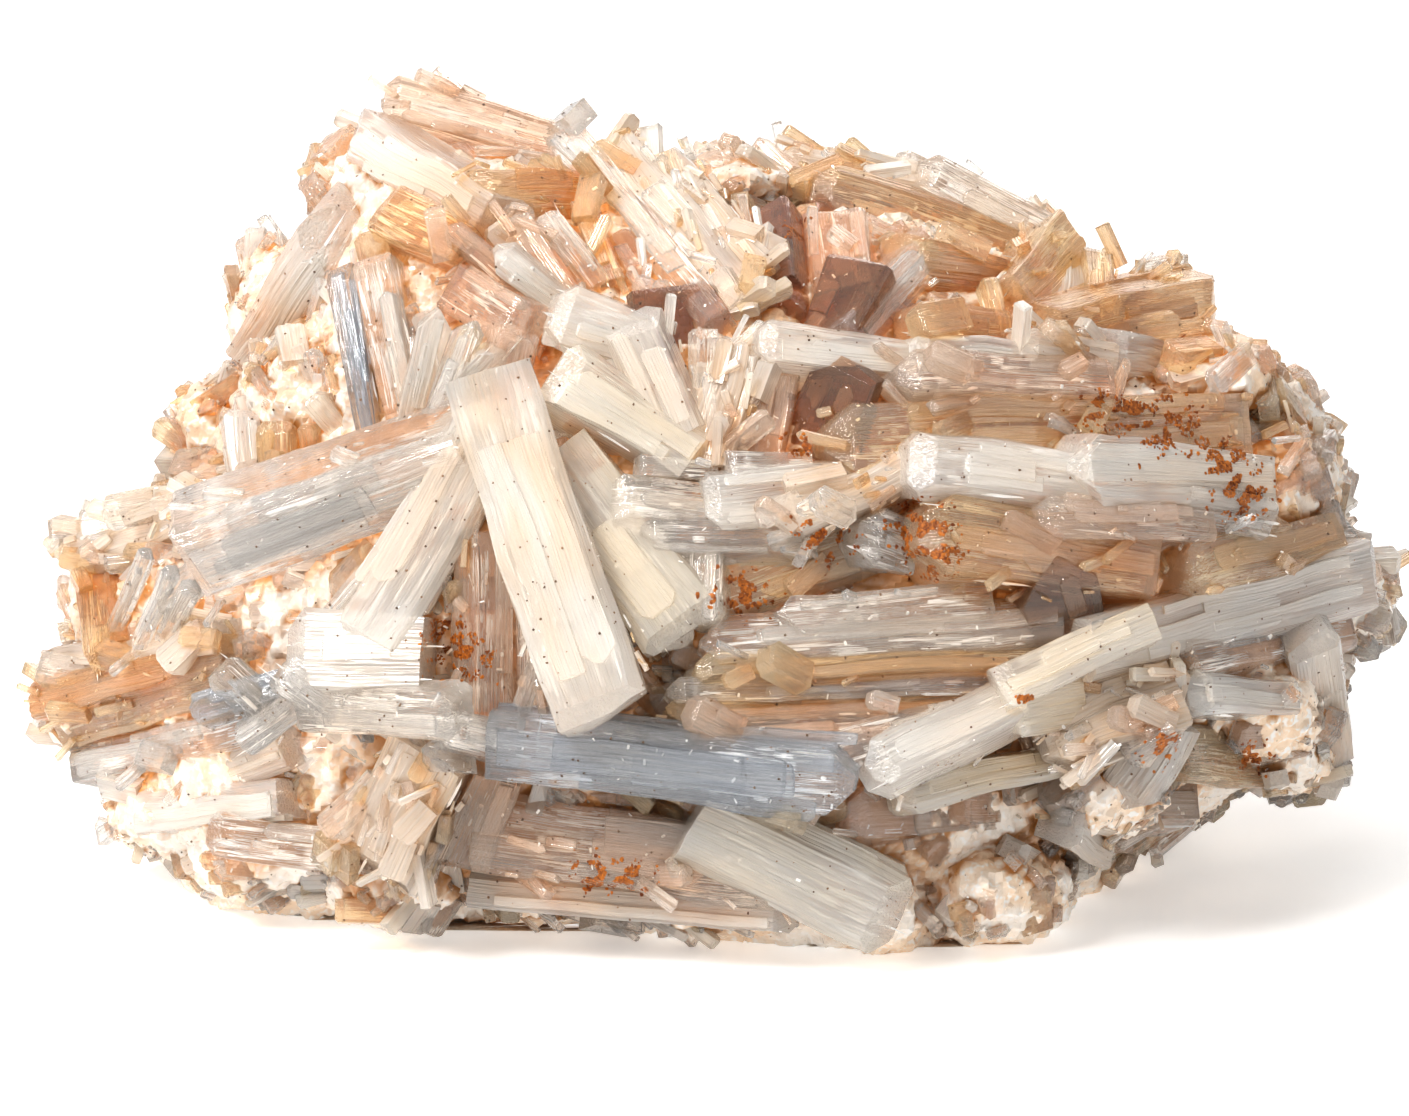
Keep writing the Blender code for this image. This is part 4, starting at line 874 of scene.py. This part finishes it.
# Small blades
# Little blades of every finish that fill the gaps, each following the crystal next to it. Five
# are cleaved, and every small blade is a copy of one of them
SMALL_KINDS = [  # length, width, thickness, share of the end slopes
    (1.0, 0.30, 0.20, 0.3), (1.0, 0.22, 0.22, 0.9), (1.0, 0.45, 0.24, 0.5), (1.0, 0.62, 0.40, 0.6),
    (1.0, 0.16, 0.12, 0.5),
]
SMALL_COUNT, SMALL_TRIES = 8000, 26000
SMALL_LENGTH = (1.0, 6.0)
SMALL_SUNK, SMALL_RISE = 0.34, 0.35
SMALL_ON = {"clear": 0.03, "steel": 0.0, "smoke": 0.0, "milk": 0.0, "cream": 0.0, "blush": 0.08,
            "honey": 0.08, "sugar": 0.6}
SMALL_MORE_SHORT = 2.2
SMALL_SPREAD, SMALL_LIFT, SMALL_ROLL = 24, (0, 36), (-20, 20)
SMALL_LOWEST, SMALL_NEAR, SMALL_LIKE_HOLDER = 3, 0.3, 0.1
SMALL_SIDEWAYS = 0.2
SMALL_COLOURS = [
    "milk", "clear", "clear", "clear", "blush", "blush", "honey", "honey", "sugar", "cream",
]


def mould_of(thing):
    """The points and the faces of a thing that copies are made of. The thing itself goes."""
    corners = numpy.array([tuple(corner.co) for corner in thing.data.vertices])
    sides = [list(face.vertices) for face in thing.data.polygons]
    bpy.data.objects.remove(thing)
    return corners, sides


def copies(name, moulds, placings, material):
    """One piece of many copies of moulds, each with its own points. A placing says which mould,
    where its root is, its axes, its size in millimetres, and its tone and cloudiness."""
    points, faces, lays, shares, tints, veils, start = [], [], [], [], [], [], 0
    for number, (kind, root, axes, size, tint, veil) in enumerate(placings):
        corners, sides = moulds[kind]
        points.append(numpy.array(root) + (corners * size * MM) @ numpy.array(axes).T)
        faces += [[start + corner for corner in side] for side in sides]
        start += len(corners)
        lays.append(corners * size + (number * 7.3, number * 3.1, 0))
        shares.append(numpy.clip(corners[:, 1], 0, 1))
        tints.append(numpy.full(len(corners), tint))
        veils.append(numpy.full(len(corners), veil))
    mesh = bpy.data.meshes.new(name)
    mesh.from_pydata(numpy.concatenate(points).tolist(), [], faces)
    note(mesh, "FLOAT_VECTOR", "lay", numpy.concatenate(lays))
    for label, values in (("share", shares), ("tint", tints), ("veil", veils)):
        note(mesh, "FLOAT", label, numpy.concatenate(values))
    thing = bpy.data.objects.new(name, mesh)
    bpy.context.scene.collection.objects.link(thing)
    return piece([thing], name, material, 5)


chance = random.Random("small blades")
small_moulds = [
    mould_of(cleaved(long, wide, thick, 0.85, 0.1, facets(chance, long, wide, thick, ends), 0.0, False))
    for long, wide, thick, ends in SMALL_KINDS
]
colour_of = {}
for colour, rows in (("milk", MILKY_ROWS), ("cream", CREAM_ROWS), ("clear", CLEAR_ROWS),
                     ("blush", BLUSH_ROWS), ("honey", HONEY_ROWS), ("sugar", SUGAR_ROWS),
                     ("smoke", SMOKY_ROWS), ("steel", STEEL_ROWS)):
    for row in rows:
        colour_of[row[0]] = colour

cad = frame["nodes"]["barite_crystal"].data
cad.calc_loop_triangles()
points = numpy.array([tuple(corner.co) for corner in cad.vertices])
faces = numpy.array([tuple(face.vertices) for face in cad.loop_triangles])
first, second, third = (points[faces[:, corner]] for corner in range(3))
crosses = numpy.cross(second - first, third - first)
areas = numpy.linalg.norm(crosses, axis=1)
upto = numpy.cumsum(areas) / areas.sum()


def somewhere(chance):
    """A place anywhere on the solid's skin, and the way out from there."""
    face = int(numpy.searchsorted(upto, chance.random()))
    a, b = chance.random(), chance.random()
    if a + b > 1:
        a, b = 1 - a, 1 - b
    spot = first[face] + a * (second[face] - first[face]) + b * (third[face] - first[face])
    return Vector(spot), Vector(crosses[face] / areas[face])


roots = numpy.array([grown[0] for grown in GROWN])
turns = numpy.array([grown[1] for grown in GROWN])
halves = numpy.array([(wide / 2, long / 2, thick / 2) for _, _, long, wide, thick, _ in GROWN])
middles = halves * (0, 1, 0)
small = {colour: [] for colour in SMALL_COLOURS}
placed = 0
for _ in range(SMALL_TRIES):
    spot, out = somewhere(chance)
    longer = chance.random() ** SMALL_MORE_SHORT
    size = SMALL_LENGTH[0] + (SMALL_LENGTH[1] - SMALL_LENGTH[0]) * longer
    spread, lift = chance.gauss(0, SMALL_SPREAD), chance.uniform(*SMALL_LIFT)
    rolled, kind = chance.uniform(*SMALL_ROLL), chance.randrange(len(small_moulds))
    keep, own = chance.random(), chance.choice(SMALL_COLOURS)
    tint, veil = chance.random(), chance.random()
    if spot.z < SMALL_LOWEST * MM or placed >= SMALL_COUNT:
        continue
    local = numpy.einsum("nji,nj->ni", turns, (numpy.array(spot) - roots) / MM) - middles
    aways = numpy.linalg.norm(numpy.maximum(numpy.abs(local) - halves, 0), axis=1)
    closest = int(aways.argmin())
    gap, nearest = aways[closest], GROWN[closest][1]
    holder = colour_of.get(GROWN[closest][5], "milk")
    if gap < SMALL_NEAR and keep > SMALL_ON[holder]:
        continue
    along = nearest.col[1] - out * nearest.col[1].dot(out)
    if along.length < SMALL_SIDEWAYS:
        along = nearest.col[0] - out * nearest.col[0].dot(out)
    along = Matrix.Rotation(math.radians(spread), 3, out) @ along.normalized()
    side = along.cross(out)
    along = Matrix.Rotation(math.radians(lift), 3, side) @ along
    axes = Matrix((side, along, side.cross(along))).transposed()
    axes = Matrix.Rotation(math.radians(rolled), 3, along) @ axes
    root = spot + out * (SMALL_RISE * MM) - axes.col[1] * (size * SMALL_SUNK * MM)
    if keep < SMALL_LIKE_HOLDER and holder in small:
        own = holder
    small[own].append((kind, root, axes, size, tint, veil))
    placed += 1
for colour, placings in small.items():
    material, slot_name = BACK_FINISHES[colour]
    copies(f"small_{colour}_blades", small_moulds, placings, material)

# Specks, glints and rust
# Dark grains and bright chips sit all over the faces, and crusts of rust grains where water
# stood. Each lies on whatever surface it lands on, partly sunk in it
RUST_SPOTS = [  # across, down, then how far the stain reaches, in millimetres
    (119.5, 41.5, 2.6), (116.0, 40.3, 1.6), (112.0, 39.8, 1.4), (125.8, 45.0, 1.8), (127.8, 48.8, 2.2),
    (93.0, 52.6, 2.0), (94.6, 56.0, 1.8), (82.8, 54.0, 1.8), (74.2, 59.5, 1.8), (42.8, 63.0, 1.6),
    (45.0, 66.0, 2.0), (59.0, 89.4, 1.6), (62.5, 89.8, 1.4), (80.2, 43.8, 1.0), (104.0, 70.4, 0.5),
    (119.0, 76.0, 1.4), (130.0, 77.5, 1.2), (80.5, 20.5, 0.9),
]
RUST_EACH = 330.0
RUST_PATCH, RUST_FROM = 1.3, 0.06
SPECK_COUNT, GLINT_COUNT = 4200, 5000
SPECK_SIZE, GLINT_SIZE, RUST_SIZE = (0.06, 0.16), (0.12, 0.55), (0.05, 0.26)
SPECK_FLAT, GLINT_FLAT, RUST_FLAT = 0.7, 0.8, 0.3
RUST_WIDE, RUST_TALL, RUST_START = 0.75, 0.6, 70
GRAIN_KINDS, GRAIN_UNEVEN = 3, (0.6, 1.25)
DROP = 12 * MM
GRAIN_SUNK = 0.25

shapes = [thing for thing in bpy.context.scene.objects if thing.get("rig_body")] + [body]
corners, sides = [], []
for thing in shapes:
    if thing is not frame["nodes"]["barite_crystal"] and thing.type == "MESH":
        start = len(corners)
        corners += [corner.co for corner in thing.data.vertices]
        sides += [[start + corner for corner in face.vertices] for face in thing.data.polygons]
around = BVHTree.FromPolygons(corners, sides)


def landed(chance, start, way, kinds, sizes, flat):
    """A placing of a grain that falls from start that way on the specimen, or none."""
    place, out, _, _ = around.ray_cast(start, way)
    size = chance.uniform(*sizes)
    turn, kind, tint = chance.uniform(0, math.tau), chance.randrange(kinds), chance.random()
    if place is None or place.z < 1 * MM:
        return []
    if out.dot(way) > 0:
        out = -out
    side = out.orthogonal().normalized()
    side = Matrix.Rotation(turn, 3, out) @ side
    axes = Matrix((side, out.cross(side), out * flat)).transposed()
    return [(kind, place - out * size * GRAIN_SUNK * flat * MM, axes, size, tint, 0.0)]


def plain_finish(name, pale, deep, rough):
    """A finish for grains, from pale to deep by each grain's own tone."""
    made = bpy.data.materials.new(name)
    made.use_nodes = True
    tree = made.node_tree
    shader = tree.nodes["Principled BSDF"]
    tint = add(tree, "Attribute", attribute_name="tint").outputs["Fac"]
    feed(tree, shader.inputs["Base Color"], blend(tree, tint, (*pale, 1), (*deep, 1)))
    feed(tree, shader.inputs["Roughness"], sum_of(tree, "MULTIPLY_ADD", tint, 0.2, rough))
    return made


chance = random.Random("grains")
grain_moulds = []
for _ in range(GRAIN_KINDS):
    bpy.ops.mesh.primitive_ico_sphere_add(subdivisions=1, radius=1.0)
    grain = bpy.context.object
    for corner in grain.data.vertices:
        corner.co *= chance.uniform(*GRAIN_UNEVEN)
    grain_moulds.append(mould_of(grain))
specks, glints, rust = [], [], []
for _ in range(SPECK_COUNT):
    spot, out = somewhere(chance)
    specks += landed(chance, spot + out * DROP, -out, GRAIN_KINDS, SPECK_SIZE, SPECK_FLAT)
for _ in range(GLINT_COUNT):
    spot, out = somewhere(chance)
    glints += landed(chance, spot + out * DROP, -out, len(small_moulds), GLINT_SIZE, GLINT_FLAT)
for across, down, reach in RUST_SPOTS:
    for _ in range(round(RUST_EACH * reach ** 1.5)):
        near_spot = (
            across + chance.gauss(0, reach * RUST_WIDE), down + chance.gauss(0, reach * RUST_TALL)
        )
        grains = landed(
            chance, at(*near_spot, RUST_START), -OUTWARD, GRAIN_KINDS, RUST_SIZE, RUST_FLAT
        )
        if noise.noise(Vector((*near_spot, 0)) / RUST_PATCH) > RUST_FROM:
            rust += grains
dark = plain_finish("dark grains", (0.30, 0.18, 0.10), (0.10, 0.06, 0.04), 0.3)
copies("dark_specks", grain_moulds, specks, dark)
bright = plain_finish("bright chips", (0.98, 0.96, 0.94), (0.93, 0.88, 0.82), 0.05)
copies("bright_chips", small_moulds, glints, bright)
rusty = plain_finish("rust", (0.62, 0.22, 0.03), (0.22, 0.06, 0.015), 0.4)
copies("rust_crusts", grain_moulds, rust, rusty)

# Cleavage flakes
# Narrow bright films where the crystals have split inside along their length. Each is a flattened
# grain, and they fill every crystal of the show face but the smoky plates
FLAKE_SIZE, FLAKE_FLAT = (0.12, 0.7), 0.06
FLAKE_NARROW, FLAKE_LONG = 0.3, (1.0, 7.0)
FLAKE_ACROSS, FLAKE_ALONG, FLAKE_IN = (-0.4, 0.4), (0.1, 0.9), (-0.1, 0.42)
FLAKE_ROLL, FLAKE_TILT = 0.5, 0.08
FLAKES_PER_VOLUME = 0.13
FLAKE_HOLDERS = ("milk", "cream", "clear", "blush", "honey", "sugar", "steel")

chance = random.Random("flakes")
flakes = []
for root, axes, long, wide, thick, name in GROWN:
    if colour_of.get(name) in FLAKE_HOLDERS:
        for _ in range(round(FLAKES_PER_VOLUME * long * wide * thick)):
            place = Vector((chance.uniform(*FLAKE_ACROSS) * wide, chance.uniform(*FLAKE_ALONG) * long,
                            chance.uniform(*FLAKE_IN) * thick))
            facing = Vector((chance.gauss(0, FLAKE_ROLL), chance.gauss(0, FLAKE_TILT),
                             chance.choice((-1, 1)))).normalized()
            side = Vector((0, 1, 0)).cross(facing).normalized()
            long_way = facing.cross(side) * chance.uniform(*FLAKE_LONG)
            flat = Matrix((side * FLAKE_NARROW, long_way, facing * FLAKE_FLAT)).transposed()
            tint = chance.random()
            flakes.append((chance.randrange(GRAIN_KINDS), root + axes @ (place * MM), axes @ flat,
                           chance.uniform(*FLAKE_SIZE), tint, 0.0))
films = plain_finish("cleavage films", (0.97, 0.96, 0.95), (0.93, 0.88, 0.82), 0.08)
copies("cleavage_flakes", grain_moulds, flakes, films)

# The finish of the massive body
# Granular barite, white to peach, amber where its mottling runs deep. Amber painted shade also
# fills its recesses, where light has to come through the crystals around it. How deep each point
# lies among the crystals is felt out with rays, and that depth is painted in as shade
RECESS_REACH = 9.0
RECESS_WAYS, RECESS_SPREAD, RECESS_START = 5, 0.9, 0.3
MOTTLE_SCALE, GRAIN_SCALE = 0.14, 1.3
IVORY, PEACH = (0.95, 0.88, 0.80, 1), (0.91, 0.72, 0.54, 1)
SUGAR_WHITE, AMBER_TONE_AND_SHADE = (0.97, 0.94, 0.90, 1), (0.55, 0.27, 0.09, 1)
MASSIVE_BUMP, MASSIVE_BUMP_DEPTH = 0.5, 0.3

chance = random.Random("ways out")
ways = [Vector([chance.gauss(0, 1) for _ in range(3)]).normalized() for _ in range(RECESS_WAYS)]
recess_shading = []
# Painted shade: the share of rays that meet the specimen near a point darkens its colour
for corner in body.data.vertices:
    start = corner.co + corner.normal * RECESS_START * MM
    met = 0
    for way in ways:
        towards = (corner.normal + way * RECESS_SPREAD).normalized()
        met += around.ray_cast(start, towards, RECESS_REACH * MM)[0] is not None
    recess_shading.append(met / RECESS_WAYS)
note(body.data, "FLOAT", "recess_shade", recess_shading)

massive = bpy.data.materials.new("massive barite")
massive.use_nodes = True
tree = massive.node_tree
shader = tree.nodes["Principled BSDF"]
millimetres = stretched(tree, add(tree, "TexCoord").outputs["Object"], 1 / MM, 1 / MM, 1 / MM)
recess_shade = add(tree, "Attribute", attribute_name="recess_shade").outputs["Fac"]
mottle = clouds(tree, millimetres, MOTTLE_SCALE, 2.0)
grain = clouds(tree, millimetres, GRAIN_SCALE, 1.0)
colour = blend(tree, between(tree, mottle, 0.38, 0.62), IVORY, PEACH)
colour = blend(tree, between(tree, grain, 0.5, 0.7), colour, SUGAR_WHITE)
# Painted amber shade in the recesses, added to the peach mottling that is the stone's own tone
mottle_and_shade = sum_of(tree, "MULTIPLY_ADD", mottle, 0.8, recess_shade)
colour = blend(tree, between(tree, mottle_and_shade, 0.5, 1.4), colour, AMBER_TONE_AND_SHADE)
feed(tree, shader.inputs["Base Color"], colour)
feed(tree, shader.inputs["Roughness"], sum_of(tree, "MULTIPLY_ADD", grain, 0.5, 0.1))
raised = add(tree, "Bump")
raised.inputs["Strength"].default_value = MASSIVE_BUMP
raised.inputs["Distance"].default_value = MASSIVE_BUMP_DEPTH * MM
feed(tree, raised.inputs["Height"], grain)
feed(tree, shader.inputs["Normal"], raised.outputs["Normal"])
shader.inputs["IOR"].default_value = BARITE_IOR
piece([body], "massive_body", massive, 30)
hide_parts("barite_crystal")
